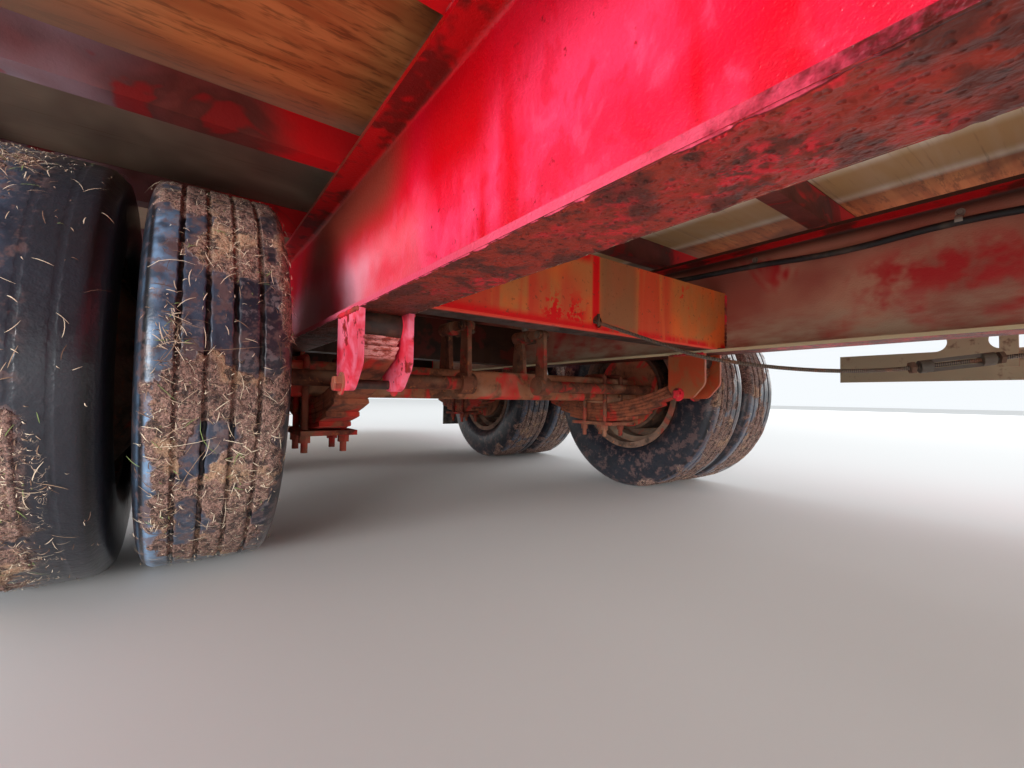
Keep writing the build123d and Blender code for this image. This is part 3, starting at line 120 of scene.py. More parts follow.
class Coat:
    """One finish, built up in layers over the piece's own coordinates."""

    def __init__(self, name, rough=0.6, metal=0.0, specular=0.5):
        self.material = bpy.data.materials.new(name)
        self.material.use_nodes = True
        self.tree = self.material.node_tree
        self.shader = self.tree.nodes["Principled BSDF"]
        self.shader.inputs["Roughness"].default_value = rough
        self.shader.inputs["Metallic"].default_value = metal
        self.shader.inputs["Specular IOR Level"].default_value = specular
        self.place = self.tree.nodes.new("ShaderNodeTexCoord")
        self.bumped = None

    def add(self, kind, sockets, out=0, **settings):
        made = self.tree.nodes.new("ShaderNode" + kind)
        for key, value in settings.items():
            setattr(made, key, value)
        for key, value in sockets.items():
            if isinstance(value, bpy.types.NodeSocket):
                self.tree.links.new(value, made.inputs[key])
            else:
                made.inputs[key].default_value = value
        return made.outputs[out]

    def stretched(self, x, y, z):
        return self.add("Mapping", {"Vector": self.place.outputs["Object"], "Scale": (x, y, z)})

    def spots(self, scale, rough=0.55, stretch=(1, 1, 1), twist=0.0, detail=3):
        return self.add("TexNoise", {"Vector": self.stretched(*stretch), "Scale": scale, "Detail": detail,
                                     "Roughness": rough, "Distortion": twist})

    def cells(self, scale, stretch=(1, 1, 1), **settings):
        return self.add("TexVoronoi", {"Vector": self.stretched(*stretch), "Scale": scale}, **settings)

    def band(self, value, low, high, most=1.0):
        """Rises from nothing where value is low to most where it is high, with soft ends."""
        return self.add("MapRange", {"Value": value, "From Min": low, "From Max": high, "To Max": most},
                        interpolation_type="SMOOTHSTEP")

    def sum(self, first, second, do="ADD"):
        return self.add("Math", {0: first, 1: second}, operation=do, use_clamp=do in ("ADD", "SUBTRACT"))

    def plus(self, first, second):
        return self.add("Math", {0: first, 1: second}, operation="ADD")

    def both(self, first, *others):
        for other in others:
            first = self.sum(first, other, "MULTIPLY")
        return first

    def mix(self, first, second, share):
        return self.sum(self.both(first, share), self.both(second, 1 - share))

    def rest(self, value):
        return self.sum(1.0, value, "SUBTRACT")

    def layer(self, below, above, share):
        """One colour over another by its share. A colour of three numbers is as the eye reads it."""
        below, above = (tone(*c) if isinstance(c, tuple) and len(c) == 3 else c for c in (below, above))
        return self.add("MixRGB", {"Fac": share, "Color1": below, "Color2": above})

    def layers(self, below, over):
        """Lays colours over one another in turn, each by its share."""
        for above, share in over:
            below = self.layer(below, above, share)
        return below

    def along(self, which):
        return self.add("SeparateXYZ", {"Vector": self.place.outputs["Object"]}, out="XYZ".index(which))

    def past_axle(self):
        """How far a place lies ahead of the front axle."""
        return self.plus(self.along("X"), -front_axle)

    def facing(self, which):
        return self.add("SeparateXYZ", {"Vector": self.place.outputs["Normal"]}, out="XYZ".index(which))

    def size(self, value):
        return self.add("Math", {0: value}, operation="ABSOLUTE")

    def strip(self, value, middle, half, soft):
        """One where a place lies within half of the middle, fading out over soft."""
        return self.both(self.band(value, middle - half - soft, middle - half),
                         self.band(value, middle + half + soft, middle + half))

    def relief(self, height, depth, strength=1.0):
        sockets = {"Height": height, "Distance": depth, "Strength": strength}
        if self.bumped:
            sockets["Normal"] = self.bumped
        self.bumped = self.add("Bump", sockets)

    def finish(self, colour, rough=None):
        self.tree.links.new(colour, self.shader.inputs["Base Color"])
        if rough is not None:
            self.tree.links.new(rough, self.shader.inputs["Roughness"])
        if self.bumped:
            self.tree.links.new(self.bumped, self.shader.inputs["Normal"])
        return self.material


def dress(piece, material):
    """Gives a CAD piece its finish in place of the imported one."""
    piece.data.materials.clear()
    piece.data.materials.append(material)


def rail_finish():
    coat = Coat("rail_red", specular=0.35)
    x, z = coat.past_axle(), coat.along("Z")
    outward = coat.band(coat.both(coat.facing("Y"), coat.along("Y")), -0.1, 0.1)
    below = coat.band(coat.both(coat.facing("Z"), -1.0), 0.5, 0.9)
    under = coat.both(below, coat.band(z, 0.70, 0.60))
    blotch = coat.spots(3.1, 0.6)
    runs = coat.spots(9.0, 0.5, stretch=(1.6, 1.6, 0.14), twist=0.5)
    fine = coat.spots(70, 0.65)
    # the sprayed side: pink where the sun has chalked it, deep red where the spray ran
    red = coat.layer((238, 14, 50), (248, 58, 98), coat.band(blotch, 0.40, 0.66))
    # The deeper red over the top of the outer web is painted shade under the top flange and the deck.
    red = coat.layer(red, (212, 4, 30), coat.band(z, 0.66, 0.77, 0.85))
    mottle = coat.spots(24, 0.62, stretch=(1, 1, 0.7), twist=0.4)
    red = coat.layers(red, [
        ((212, 8, 36), coat.both(coat.band(mottle, 0.50, 0.60), coat.band(blotch, 0.30, 0.62, 0.45))),
        ((255, 92, 132), coat.both(coat.band(mottle, 0.46, 0.36), coat.band(z, 0.74, 0.62, 0.25))),
        ((222, 2, 22), coat.band(runs, 0.50, 0.68, 0.85)),
    ])
    run_down = coat.strip(x, 0.70, 0.05, 0.07)
    red = coat.layer(red, (214, 0, 20), coat.both(run_down, coat.band(z, 0.58, 0.70)))
    # A pale pink patch low on the outer web, from about the front hanger back.
    pale_patch = coat.both(coat.band(x, 0.66, 0.40), coat.band(z, 0.70, 0.60))
    red = coat.layers(red, [
        ((238, 168, 186), coat.both(pale_patch, coat.band(blotch, 0.20, 0.62))),
        ((150, 62, 48), coat.both(coat.strip(x, 0.20, 0.22, 0.16), coat.band(z, 0.62, 0.76))),
        ((150, 20, 24), coat.both(coat.band(fine, 0.64, 0.74), coat.band(blotch, 0.45, 0.65))),
    ])
    # The pink along the foot's outer edge is a painted highlight; further forward the edge turns dark
    # red-brown.
    lip = coat.band(z, 0.5192, 0.5182)
    uneven = coat.plus(x, coat.both(fine, 0.3))
    red = coat.layer(red, (88, 26, 24), coat.both(lip, coat.band(uneven, 1.18, 1.36)))
    red = coat.layer(red, (240, 92, 122), coat.both(lip, coat.band(uneven, 1.36, 1.18), 0.75))
    # the sheltered side: brown road dirt over the red, tan low down, and dark painted shade under the top
    # flange
    dusty = coat.layer((168, 90, 76), (198, 140, 116), coat.band(coat.spots(3.4), 0.42, 0.66))
    patch = coat.band(coat.spots(4.6, 0.62, stretch=(1, 1, 0.55), twist=0.8), 0.53, 0.63)
    dusty = coat.layer(dusty, (186, 40, 44), coat.both(patch, coat.band(runs, 0.35, 0.6)))
    worn = coat.both(coat.strip(x, 1.02, 0.10, 0.14), coat.strip(z, 0.62, 0.06, 0.08))
    dusty = coat.layer(dusty, (190, 38, 42), coat.both(worn, coat.band(coat.spots(13, 0.6), 0.38, 0.60)))
    low = coat.band(z, 0.660, 0.540)
    # The dark brown band at the top of the inner web is painted shade under the top flange.
    dusty = coat.layers(dusty, [
        ((186, 164, 140), coat.both(low, coat.band(coat.spots(9, stretch=(1, 1, 3)), 0.25, 0.70))),
        ((212, 196, 158), coat.band(z, 0.5215, 0.5185)),
        ((70, 36, 24), coat.band(z, 0.770, 0.800)),
    ])
    # the foot: bare rust with the old coat left in patches
    rust = coat.layers((164, 48, 30), [
        ((100, 38, 27), coat.band(coat.spots(22, 0.7), 0.42, 0.60)),
        ((220, 34, 48), coat.both(coat.band(coat.spots(6.5, 0.65), 0.54, 0.64), coat.band(fine, 0.42, 0.6))),
        ((70, 40, 28), coat.band(x, 0.78, 0.44, 0.75)),
        ((46, 24, 18), coat.band(coat.cells(60), 0.22, 0.08, 0.7)),
    ])
    web = coat.layer(dusty, red, outward)
    flange = coat.layer((200, 18, 26), (112, 30, 24), coat.band(coat.spots(12, 0.65), 0.46, 0.58))
    web = coat.layer(web, flange, coat.both(below, coat.band(z, 0.70, 0.78)))
    colour = coat.layer(web, rust, under)
    pits = coat.band(coat.cells(150), 0.05, 0.40)
    coat.relief(coat.layer(coat.both(coat.spots(260, 0.6, detail=2), 0.22), coat.both(pits, fine), under),
                0.0052, 1.0)
    coat.relief(coat.spots(24, 0.6, detail=2), 0.0014, 0.4)
    rough = coat.layer((196, 196, 196), (150, 150, 150), coat.both(outward, coat.rest(under)))
    return coat.finish(colour, rough)


rail_red = rail_finish()
for name in ("main_rail_left", "main_rail_right", "tail_rail_left", "tail_rail_right"):
    dress(node[name], rail_red)


# Cross-members: rolled channels welded between the rails. The front one faces the road dust and
# has gone orange-tan, with the bright coat left in drips and along its lower edge; the rest are brown
# with dirt, painted darker still as shade far under the deck.
def cross_finish():
    coat = Coat("cross_orange", rough=0.66, specular=0.3)
    x, y, z = coat.past_axle(), coat.along("Y"), coat.along("Z")
    cloud = coat.spots(5.5, 0.6, twist=0.6)
    runs = coat.spots(9, 0.6, stretch=(1.2, 1.6, 0.16), twist=0.6)
    crumbs = coat.spots(80, 0.7)
    colour = coat.layer((242, 112, 50), (208, 124, 66), coat.band(cloud, 0.38, 0.62))
    left_share = coat.both(coat.band(y, -0.02, -0.20), coat.band(z, 0.69, 0.60))
    colour = coat.layers(colour, [
        ((222, 72, 46), coat.both(left_share, coat.band(runs, 0.36, 0.60))),
        ((222, 80, 46), coat.both(coat.strip(y, 0.17, 0.05, 0.05), coat.band(runs, 0.42, 0.56))),
        ((142, 96, 66), coat.both(coat.strip(y, 0.03, 0.05, 0.04), 0.75)),
    ])
    drip = coat.both(coat.strip(y, -0.051, 0.008, 0.008),
                     coat.band(coat.sum(runs, coat.both(crumbs, 0.4)), 0.42, 0.58))
    splat = coat.both(coat.strip(y, -0.150, 0.045, 0.04), coat.band(z, 0.620, 0.560),
                      coat.band(coat.spots(30, 0.7), 0.50, 0.56))
    marks = coat.both(coat.strip(y, 0.325, 0.02, 0.06), coat.strip(z, 0.620, 0.04, 0.04),
                      coat.band(coat.spots(26, 0.6), 0.60, 0.66))
    top_left = coat.both(coat.strip(y, -0.105, 0.025, 0.03), coat.band(z, 0.665, 0.690))
    lip = coat.both(coat.band(z, 0.545, 0.527),
                    coat.band(coat.sum(runs, coat.band(y, 0.05, -0.15, 0.3)), 0.42, 0.60))
    for share in (drip, splat, marks, top_left, lip):
        colour = coat.layer(colour, (236, 6, 16), share)
    # The pale pink-orange line along the lower edge of the front face is a painted highlight.
    colour = coat.layer(colour, (246, 92, 84),
                        coat.both(coat.band(z, 0.523, 0.5205), coat.band(runs, 0.2, 0.4)))
    colour = coat.layer(colour, (120, 70, 46), coat.band(crumbs, 0.60, 0.70, 0.6))
    # The rear members and the back faces are dirt brown, painted darker as shade under the deck.
    brown = coat.layer((66, 42, 30), (44, 29, 22), coat.band(cloud, 0.4, 0.6))
    brown = coat.layer(brown, (104, 36, 28), coat.band(coat.spots(7), 0.58, 0.63, 0.7))
    front = coat.both(coat.band(coat.facing("X"), 0.4, 0.8), coat.band(x, 0.20, 0.30))
    colour = coat.layer(brown, colour, front)
    # A brighter orange-pink line on the lower corner of the front face is also a painted highlight.
    foot_edge = coat.both(coat.band(z, 0.5230, 0.5212), coat.band(x, 0.484, 0.500))
    colour = coat.layer(colour, (250, 78, 56), coat.both(foot_edge, coat.band(runs, 0.25, 0.42)))
    coat.relief(coat.mix(coat.spots(180, 0.65, detail=2), coat.spots(24, 0.6), 0.5), 0.0022, 0.6)
    return coat.finish(colour, coat.layer((180, 180, 180), (225, 225, 225), coat.band(runs, 0.4, 0.7)))


dress(node["cross_members"], cross_finish())


# Outer frame: headstock, drawbar, headboard, raves, tail and ramps, sprayed red and faded, with
# rust coming through where straps and boots have worn the coat.
def frame_finish(name, red, bright, dust, dusty=0.5):
    coat = Coat(name, rough=0.55, specular=0.35)
    runs = coat.spots(5, 0.6, stretch=(1.5, 1.5, 0.25), twist=0.7)
    colour = coat.layer(red, bright, coat.band(coat.spots(3.2, 0.6), 0.40, 0.66))
    colour = coat.layer(colour, dust, coat.band(runs, 0.64 - dusty * 0.3, 0.80, dusty * 1.4))
    chips = coat.band(coat.spots(26, 0.72), 0.62, 0.67)
    colour = coat.layer(colour, (112, 54, 36), chips)
    colour = coat.layer(colour, (104, 48, 36), coat.band(coat.spots(2.4, 0.65), 0.58, 0.78, 0.7))
    coat.relief(coat.mix(coat.spots(200, 0.65, detail=2), coat.rest(chips), 0.5), 0.0012, 0.6)
    return coat.finish(colour, coat.layer((130, 130, 130), (215, 215, 215),
                                          coat.sum(chips, coat.band(runs, 0.5, 0.8))))


outside_red = frame_finish("outside_red", (186, 16, 26), (208, 38, 52), (160, 104, 84), 0.30)
tail_red = frame_finish("tail_red", (166, 20, 26), (190, 34, 42), (146, 112, 88), 0.45)
for name in ("headstock", "drawbar", "headboard", "side_rave_left", "side_rave_right"):
    dress(node[name], outside_red)
for name in ("tail_frame", "ramp_left", "ramp_right"):
    dress(node[name], tail_red)


# Deck bearers: pressed channels across the rails, one each bay, in old dark red paint: bright
# where it ran down beside the rails, and brown with dust further out.
def bearer_finish():
    coat = Coat("bearer_red", rough=0.6, specular=0.35)
    out = coat.size(coat.along("Y"))
    cloud = coat.spots(7, 0.62, twist=0.5)
    runs = coat.spots(11, 0.6, stretch=(1.4, 0.35, 1.4), twist=0.5)
    colour = coat.layer((120, 58, 52), (92, 44, 38), coat.band(cloud, 0.40, 0.60))
    bright = coat.both(coat.band(coat.sum(out, coat.both(cloud, 0.16)), 0.83, 0.72),
                       coat.band(out, 0.50, 0.54))
    colour = coat.layers(colour, [
        ((206, 8, 20), bright),
        ((206, 40, 44), coat.both(coat.band(runs, 0.60, 0.68), coat.band(out, 0.6, 0.5))),
        ((176, 164, 178), coat.both(coat.band(coat.spots(3), 0.30, 0.6), coat.band(out, 0.84, 1.06))),
        ((146, 24, 26), coat.band(cloud, 0.57, 0.62, 0.8)),
    ])
    coat.relief(coat.spots(120, 0.65), 0.0014, 0.6)
    return coat.finish(colour)


dress(node["deck_bearers"], bearer_finish())


# Deck boards: birch plywood sheets, screwed down. The underside is golden brown near the edge of
# the deck, grey over the wheels and pale in the middle bays, with brown water stains.
def ply_finish(name):
    coat = Coat(name, rough=0.75, specular=0.2)
    x = coat.past_axle()
    out = coat.size(coat.along("Y"))
    grain = coat.spots(14, 0.62, stretch=(9, 0.35, 9), twist=0.15)
    figure = coat.spots(4, 0.6, stretch=(4.5, 0.5, 4), twist=0.5)
    stain = coat.spots(2.6, 0.66, twist=0.5)
    gold = coat.layers((168, 96, 52), [
        ((200, 128, 74), coat.band(figure, 0.38, 0.66)),
        ((98, 54, 26), coat.band(stain, 0.48, 0.62, 0.85)),
        ((84, 46, 24), coat.band(coat.spots(30, 0.7, stretch=(3, 0.5, 3)), 0.50, 0.66, 0.55)),
        ((158, 130, 104), coat.band(out, 0.80, 1.08, 0.7)),
    ])
    cream = coat.layers((236, 222, 190), [
        ((252, 246, 226), coat.band(figure, 0.35, 0.65)),
        ((190, 142, 100), coat.band(stain, 0.56, 0.66, 0.75)),
        ((178, 128, 62), coat.both(coat.strip(coat.along("Y"), 0.44, 0.05, 0.06), 0.8)),
    ])
    inner = coat.band(out, 0.56, 0.52)
    colour = coat.layer(gold, cream, inner)
    near_wheels = coat.both(coat.band(x, 0.42, 0.28), coat.rest(inner))
    grey = coat.layer((132, 112, 96), (168, 146, 124), coat.band(stain, 0.35, 0.7))
    colour = coat.layer(colour, grey, near_wheels)
    top = coat.band(coat.facing("Z"), 0.5, 0.9)
    walked = coat.layers((118, 104, 86), [
        ((148, 132, 110), coat.band(stain, 0.4, 0.66)),
        ((84, 70, 58), coat.band(coat.spots(7, 0.7), 0.50, 0.72)),
        ((166, 146, 116), coat.band(coat.spots(3, 0.6, stretch=(0.3, 2.5, 1)), 0.56, 0.66, 0.5)),
    ])
    colour = coat.layer(colour, walked, top)
    edge = coat.band(coat.size(coat.facing("Z")), 0.6, 0.4)
    plies = coat.band(coat.add("Math", {0: coat.both(coat.along("Z"), 1100.0)}, operation="SINE"), -0.3, 0.3)
    colour = coat.layer(colour, coat.layer((96, 66, 44), (138, 104, 72), plies), edge)
    colour = coat.layer(colour, (104, 70, 42), coat.band(grain, 0.56, 0.76, 0.40))
    coat.relief(grain, 0.0010, 0.6)
    return coat.finish(colour)


plywood = ply_finish("plywood")
dress(node["deck_boards"], plywood)
dress(node["tail_boards"], plywood)


# Springs, axles and brake gear: hot-rolled steel, sprayed in place over rust, so the red is only
# an overspray, with tan road dust on what faces up and forward.
def running_gear_finish(name, rust, spray, dust, sprayed=0.5):
    coat = Coat(name, rough=0.8, specular=0.3)
    cloud = coat.spots(18, 0.7)
    colour = coat.layers(rust, [
        (tone(rust[0] * 0.6, rust[1] * 0.6, rust[2] * 0.6), coat.band(cloud, 0.42, 0.66)),
        (spray, coat.band(coat.spots(9, 0.65, twist=1.0), 0.66 - sprayed * 0.3, 0.72 - sprayed * 0.2)),
        (dust, coat.both(coat.band(coat.spots(5, 0.6), 0.46, 0.70), coat.band(coat.facing("Z"), -0.6, 0.4))),
        ((176, 104, 60), coat.band(coat.spots(70, 0.7), 0.56, 0.7, 0.6)),
    ])
    coat.relief(coat.mix(coat.spots(130, 0.7), cloud, 0.6), 0.0030, 0.7)
    return coat.finish(colour)


rusty = running_gear_finish("rusty_gear", (120, 68, 48), (184, 38, 34), (158, 122, 96), 0.45)
beam_rust = running_gear_finish("rusty_beam", (162, 100, 70), (206, 54, 46), (200, 158, 126), 0.50)
dark_steel = running_gear_finish("dark_steel", (98, 74, 60), (140, 50, 42), (150, 128, 108), 0.1)
clamp_red = running_gear_finish("clamp_red", (126, 58, 44), (176, 34, 30), (156, 118, 92), 0.5)
for name in ("equalisers", "brake_gear", "jack_housing", "handbrake_lever"):
    dress(node[name], rusty)
dress(node["axles"], beam_rust)
dress(node["spring_clamps"], clamp_red)
for name in ("towing_eye", "jack_leg"):
    dress(node[name], dark_steel)


# Spring hangers: plates flame-cut from thick steel and welded under the rails. The outer faces
# kept their pink-red coat, the round seats between the plates are worn bare by the springs.
def hanger_finish():
    coat = Coat("hanger_red", rough=0.5, specular=0.4)
    off_rail = coat.size(coat.plus(coat.size(coat.along("Y")), -rail_line))
    cloud = coat.spots(14, 0.65, twist=0.6)
    colour = coat.layer((242, 54, 78), (255, 124, 150), coat.band(cloud, 0.40, 0.64))
    colour = coat.layer(colour, (150, 34, 30), coat.band(coat.spots(30, 0.7), 0.57, 0.64))
    left_side = coat.band(coat.along("Y"), 0.0, 0.1)
    brown = coat.layer((186, 74, 40), (164, 94, 56), coat.band(cloud, 0.42, 0.60))
    colour = coat.layer(colour, brown, left_side)
    bare = coat.layer((78, 54, 42), (54, 40, 34), coat.band(coat.spots(40), 0.4, 0.6))
    colour = coat.layer(colour, bare, coat.band(off_rail, 0.0395, 0.0385))
    coat.relief(coat.mix(coat.spots(150, 0.7, detail=2), cloud, 0.5), 0.0020, 0.6)
    return coat.finish(colour)


rail_line = 0.537                # middle of each main rail, off the centre line
dress(node["spring_hangers"], hanger_finish())


# Bolts, welds and wires: hexagon heads with washers, rippled weld beads along the joints, and
# round bars for hooks, springs and clips, used wherever the frame is put together.
def angles(count):
    return [2 * math.pi * k / count for k in range(count)]


def skin(shape, rows, closed=True, capped=True):
    """Joins rows of points into a surface: round into a tube if closed, its two ends capped."""
    count = len(rows[0])
    for lower, upper in zip(rows, rows[1:]):
        for k in range(count if closed else count - 1):
            shape.faces.new((lower[k], lower[(k + 1) % count], upper[(k + 1) % count], upper[k]))
    if capped:
        shape.faces.new(rows[-1])
        shape.faces.new(list(reversed(rows[0])))


def hexagon(shape, place, way, size, tall, washer=True):
    """Adds a chamfered hexagon head, size across its corners, standing on place along way."""
    base = Matrix.Translation(place) @ Vector(way).to_track_quat("Z", "Y").to_matrix().to_4x4()
    rings = [(0.0, 0.5), (tall * 0.82, 0.5), (tall, 0.41)]
    if washer:
        thick = size * 0.10
        bmesh.ops.create_cone(shape, cap_ends=True, segments=20, radius1=size * 0.72, radius2=size * 0.70,
                              depth=thick, matrix=base @ Matrix.Translation((0, 0, thick / 2)))
        rings = [(up + thick, share) for up, share in rings]
    rows = []
    for up, share in rings:
        corners = [Vector((size * share * math.cos(t), size * share * math.sin(t), up)) for t in angles(6)]
        rows.append([shape.verts.new(base @ corner) for corner in corners])
    skin(shape, rows)


def bar(shape, points, radius, sides=8):
    """Adds a round bar along points, closed at both ends. radius may differ from point to point."""
    points = [Vector(p) for p in points]
    last = len(points) - 1
    radii = radius if isinstance(radius, list) else [radius] * len(points)
    rows = []
    for k, point in enumerate(points):
        way = (points[min(k + 1, last)] - points[max(k - 1, 0)]).normalized()
        side = way.orthogonal().normalized() if not rows else (side - way * side.dot(way)).normalized()
        rise = way.cross(side)
        spokes = [side * math.cos(t) + rise * math.sin(t) for t in angles(sides)]
        rows.append([shape.verts.new(point + spoke * radii[k]) for spoke in spokes])
    skin(shape, rows)


def weld(shape, start, end, size=0.006, seed=0.0):
    """Adds a weld bead between two points: a bar that swells and wanders with each drop."""
    start, end = Vector(start), Vector(end)
    drop = 0.0045
    count = max(3, int((end - start).length / drop))
    points = []
    radii = []
    for k in range(count + 1):
        place = start.lerp(end, k / count)
        wander = Vector((field.noise(place * 60), field.noise(place * 71), field.noise(place * 53)))
        swell = 0.18 * field.noise(place * 90 + Vector((seed, 0, 0)))
        points.append(place + wander * size * 0.22)
        radii.append(size * (0.78 + 0.20 * math.cos(k * 2.2) + swell))
    radii[0] = radii[-1] = size * 0.4
    bar(shape, points, radii, 6)


def fit(name, shape, material, body="chassis", smooth=False):
    """Turns a worked shape into a piece of the trailer that rides on one body."""
    bmesh.ops.recalc_face_normals(shape, faces=shape.faces)
    mesh = bpy.data.meshes.new(name)
    shape.to_mesh(mesh)
    shape.free()
    mesh.materials.append(material)
    for face in mesh.polygons:
        face.use_smooth = smooth
    piece = bpy.data.objects.new(name, mesh)
    scene.collection.objects.link(piece)
    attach(piece, body)
    return piece


weld_coat = running_gear_finish("weld_bead", (150, 70, 56), (226, 44, 60), (176, 120, 96), 0.7)
web_face = 0.5335                # inner side of a rail's web
under_foot = 0.5085              # just under a rail's foot
plate_lanes = (-0.051, 0.051)    # a hanger's two plates, off the rail's middle
end_hangers, middle_hanger = (0.400, -1.493), -0.5465    # ahead of the front axle
cross_fronts = (0.506, -0.5085, -1.523, 1.934, 3.362)    # front faces of the cross-members
cross_depth = 0.076
shape = bmesh.new()
for way in (-1, 1):
    for lead in cross_fronts:
        face = front_axle + lead
        edge = way * web_face
        weld(shape, (face + 0.001, edge, 0.532), (face + 0.001, edge, 0.692), 0.0055, lead)
        weld(shape, (face - 0.002, edge, 0.6985), (face - cross_depth, edge, 0.6985), 0.005, lead)
        weld(shape, (face + 0.001, way * 0.488, 0.5205), (face + 0.001, way * 0.524, 0.5205), 0.004, lead)
    for lane in plate_lanes:
        foot = way * rail_line + lane
        plates = [(lead, 0.062, lead) for lead in end_hangers] + [(middle_hanger, 0.080, lane)]
        for lead, half, seed in plates:
            plate = front_axle + lead
            weld(shape, (plate - half, foot, under_foot), (plate + half, foot, under_foot), 0.0055, seed)
fit("frame_welds", shape, weld_coat, smooth=True)

bearer_pitch = 0.476
bearer_foot = 0.8165
deck_front = front_axle + 0.325 + 9 * bearer_pitch
shape = bmesh.new()
for bay in range(1, 15):
    face = deck_front - bay * bearer_pitch
    for edge in (-0.487, -0.587, 0.487, 0.587):
        weld(shape, (face - 0.040, edge, bearer_foot), (face - 0.004, edge, bearer_foot), 0.004, bay)
    for low, high in ((-0.583, -0.491), (0.491, 0.583)):
        weld(shape, (face + 0.001, low, bearer_foot), (face + 0.001, high, bearer_foot), 0.004, bay)
fit("bearer_welds", shape, weld_coat, smooth=True)


# Rust scale: the foot of the near rail is pitted and flaking underneath, in a skin of rust that
# stands a millimetre or two off the steel.
scale_steps, scale_lanes = 430, 24
foot_edge, foot_face = -0.588, 0.5100
shape = bmesh.new()
rows = []
for step in range(scale_steps + 1):
    along = front_axle - 0.22 + step * 0.0045
    row = []
    for lane in range(scale_lanes + 1):
        out = foot_edge + lane * 0.00425
        place = Vector((along, out, foot_face))
        rough = field.noise(place * 34) + 0.7 * field.noise(place * 80) + 0.5 * field.noise(place * 170)
        deep = 0.0004 + 0.0030 * max(0.0, rough) ** 0.7
        border = lane in (0, scale_lanes) or step in (0, scale_steps)
        row.append(shape.verts.new((along, out, foot_face + 0.0003 if border else foot_face - deep)))
    rows.append(row)
skin(shape, rows, closed=False, capped=False)
near_side = [row[0] for row in rows[-2:0:-1]]
far_side = [row[-1] for row in rows[1:-1]]
shape.faces.new(rows[0] + far_side + rows[-1][::-1] + near_side)
fit("rail_scale", shape, rail_red, smooth=True)


# Leaf springs: six arched leaves a spring, each a separate strip of rolled steel with eased edges,
# nipped together under the axle. The ends of the long leaves have flaked into thin layers.
def leaf_finish():
    coat = Coat("leaf_steel", rough=0.75, specular=0.3)
    cloud = coat.spots(22, 0.7)
    colour = coat.layer((150, 84, 58), (96, 56, 42), coat.band(cloud, 0.42, 0.62))
    colour = coat.layer(colour, (196, 44, 36), coat.band(coat.spots(9), 0.52, 0.60, 0.8))
    front_end = coat.band(coat.past_axle(), 0.405, 0.42)
    end = coat.both(front_end, coat.band(coat.along("Y"), -0.2, -0.3))
    layers = coat.band(coat.spots(60, 0.7, stretch=(1, 1, 3)), 0.46, 0.60)
    colour = coat.layer(colour, coat.layer((244, 176, 170), (186, 92, 78), layers), end)
    coat.relief(coat.mix(coat.spots(140, 0.7), cloud, 0.6), 0.0026, 0.7)
    return coat.finish(colour)


def strip(shape, line, half, thick, jag=0.0, seed=0):
    """Adds a flat strip along line, half wide each way across Y, with eased edges and worn ends."""
    ease = min(0.0016, thick * 0.35)
    flank, back = half - ease, thick / 2
    outline = ((-half, ease - back), (-flank, -back), (0, -back), (flank, -back), (half, ease - back),
               (half, back - ease), (flank, back), (0, back), (-flank, back), (-half, back - ease))
    last = len(line) - 1
    rows = []
    for k, (x, y, z) in enumerate(line):
        before, after = line[max(k - 1, 0)], line[min(k + 1, last)]
        way = Vector((after[0] - before[0], 0, after[2] - before[2])).normalized()
        rise = Vector((-way.z, 0, way.x))
        row = []
        for across, up in outline:
            place = Vector((x, y + across, z)) + rise * up
            if k in (0, last) and jag:
                bite = jag * field.noise(Vector((across * 90, up * 400, seed))) - jag * 0.5
                place += way * bite * (1 if k else -1)
            row.append(shape.verts.new(place))
        rows.append(row)
    skin(shape, rows)


def leaf_line(axle_x, side, arc, bends, end=1):
    """The middle of one leaf: points on its arc, whose centre lies above the axle."""
    return [(axle_x + end * arc * math.sin(bend), side * rail_line,
             leaf_top + leaf_arc - arc * math.cos(bend))
            for bend in bends]


leaf_steel = leaf_finish()
rear_axle = front_axle - 1.093
axle_height = 0.3985
leaf_thick = 0.012
leaf_arc = 0.830                                   # radius of the top leaf's back
leaf_top = axle_height - 0.045 - 0.008             # under the axle beam and its seat
leaf_reaches = (0.440, 0.437, 0.330, 0.270, 0.210, 0.150)
flake_length, flake_pitch = 0.030, 0.0039
shape = bmesh.new()
for axle_x in (front_axle, rear_axle):
    for way in (-1, 1):
        for place, reach in enumerate(leaf_reaches):
            back = leaf_arc + place * leaf_thick
            limit = math.asin(reach / back)
            body = limit - (flake_length / leaf_arc if place < 2 else 0.0)
            line = leaf_line(axle_x, way, back + leaf_thick / 2, [body * (k / 18 - 1) for k in range(37)])
            strip(shape, line, 0.036, leaf_thick - 0.0006, 0.002, place)
            if place > 1:
                continue
            for end in (-1, 1):
                for flake in range(3):
                    far = limit - (0.0012 + 0.0030 * ((flake * 2 + place) % 3)) / leaf_arc
                    bends = [body + (far - body) * k / 5 - 0.004 for k in range(6)]
                    line = leaf_line(axle_x, way, back + 0.0022 + flake * flake_pitch, bends, end)
                    strip(shape, line if end > 0 else line[::-1], 0.0355 - 0.0016 * flake, 0.0022, 0.006,
                          flake + end * 3 + place * 9)
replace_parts(fit("spring_leaves", shape, leaf_steel), "leaf_springs")


# Fastenings on the frame: hexagon heads on the hanger pins, the guard bars, the headboard's feet
# and the eye's flange, pins and washers at the brake forks, and a cotter through each.
def disc(shape, place, thick, radius, top, sides=20, turn=Matrix.Identity(4)):
    """Adds a round washer, nut end or screw head about place, top wide at its far side."""
    bmesh.ops.create_cone(shape, cap_ends=True, segments=sides, radius1=radius, radius2=top, depth=thick,
                          matrix=Matrix.Translation(place) @ turn)


across_turn = Matrix.Rotation(math.pi / 2, 4, "X")
lever_lanes = (0.112, -0.172)                      # the brake levers, off the centre line
shape = bmesh.new()
for axle_x, lead in ((front_axle, 1), (rear_axle, -1)):
    for way in (-1, 1):
        for side in (-1, 1):
            pin = (axle_x + lead * (end_hangers[0] - 0.028), way * rail_line + side * 0.050, 0.380)
            hexagon(shape, pin, (0, side, 0), 0.031, 0.0135)
fit("hanger_bolts", shape, weld_coat)

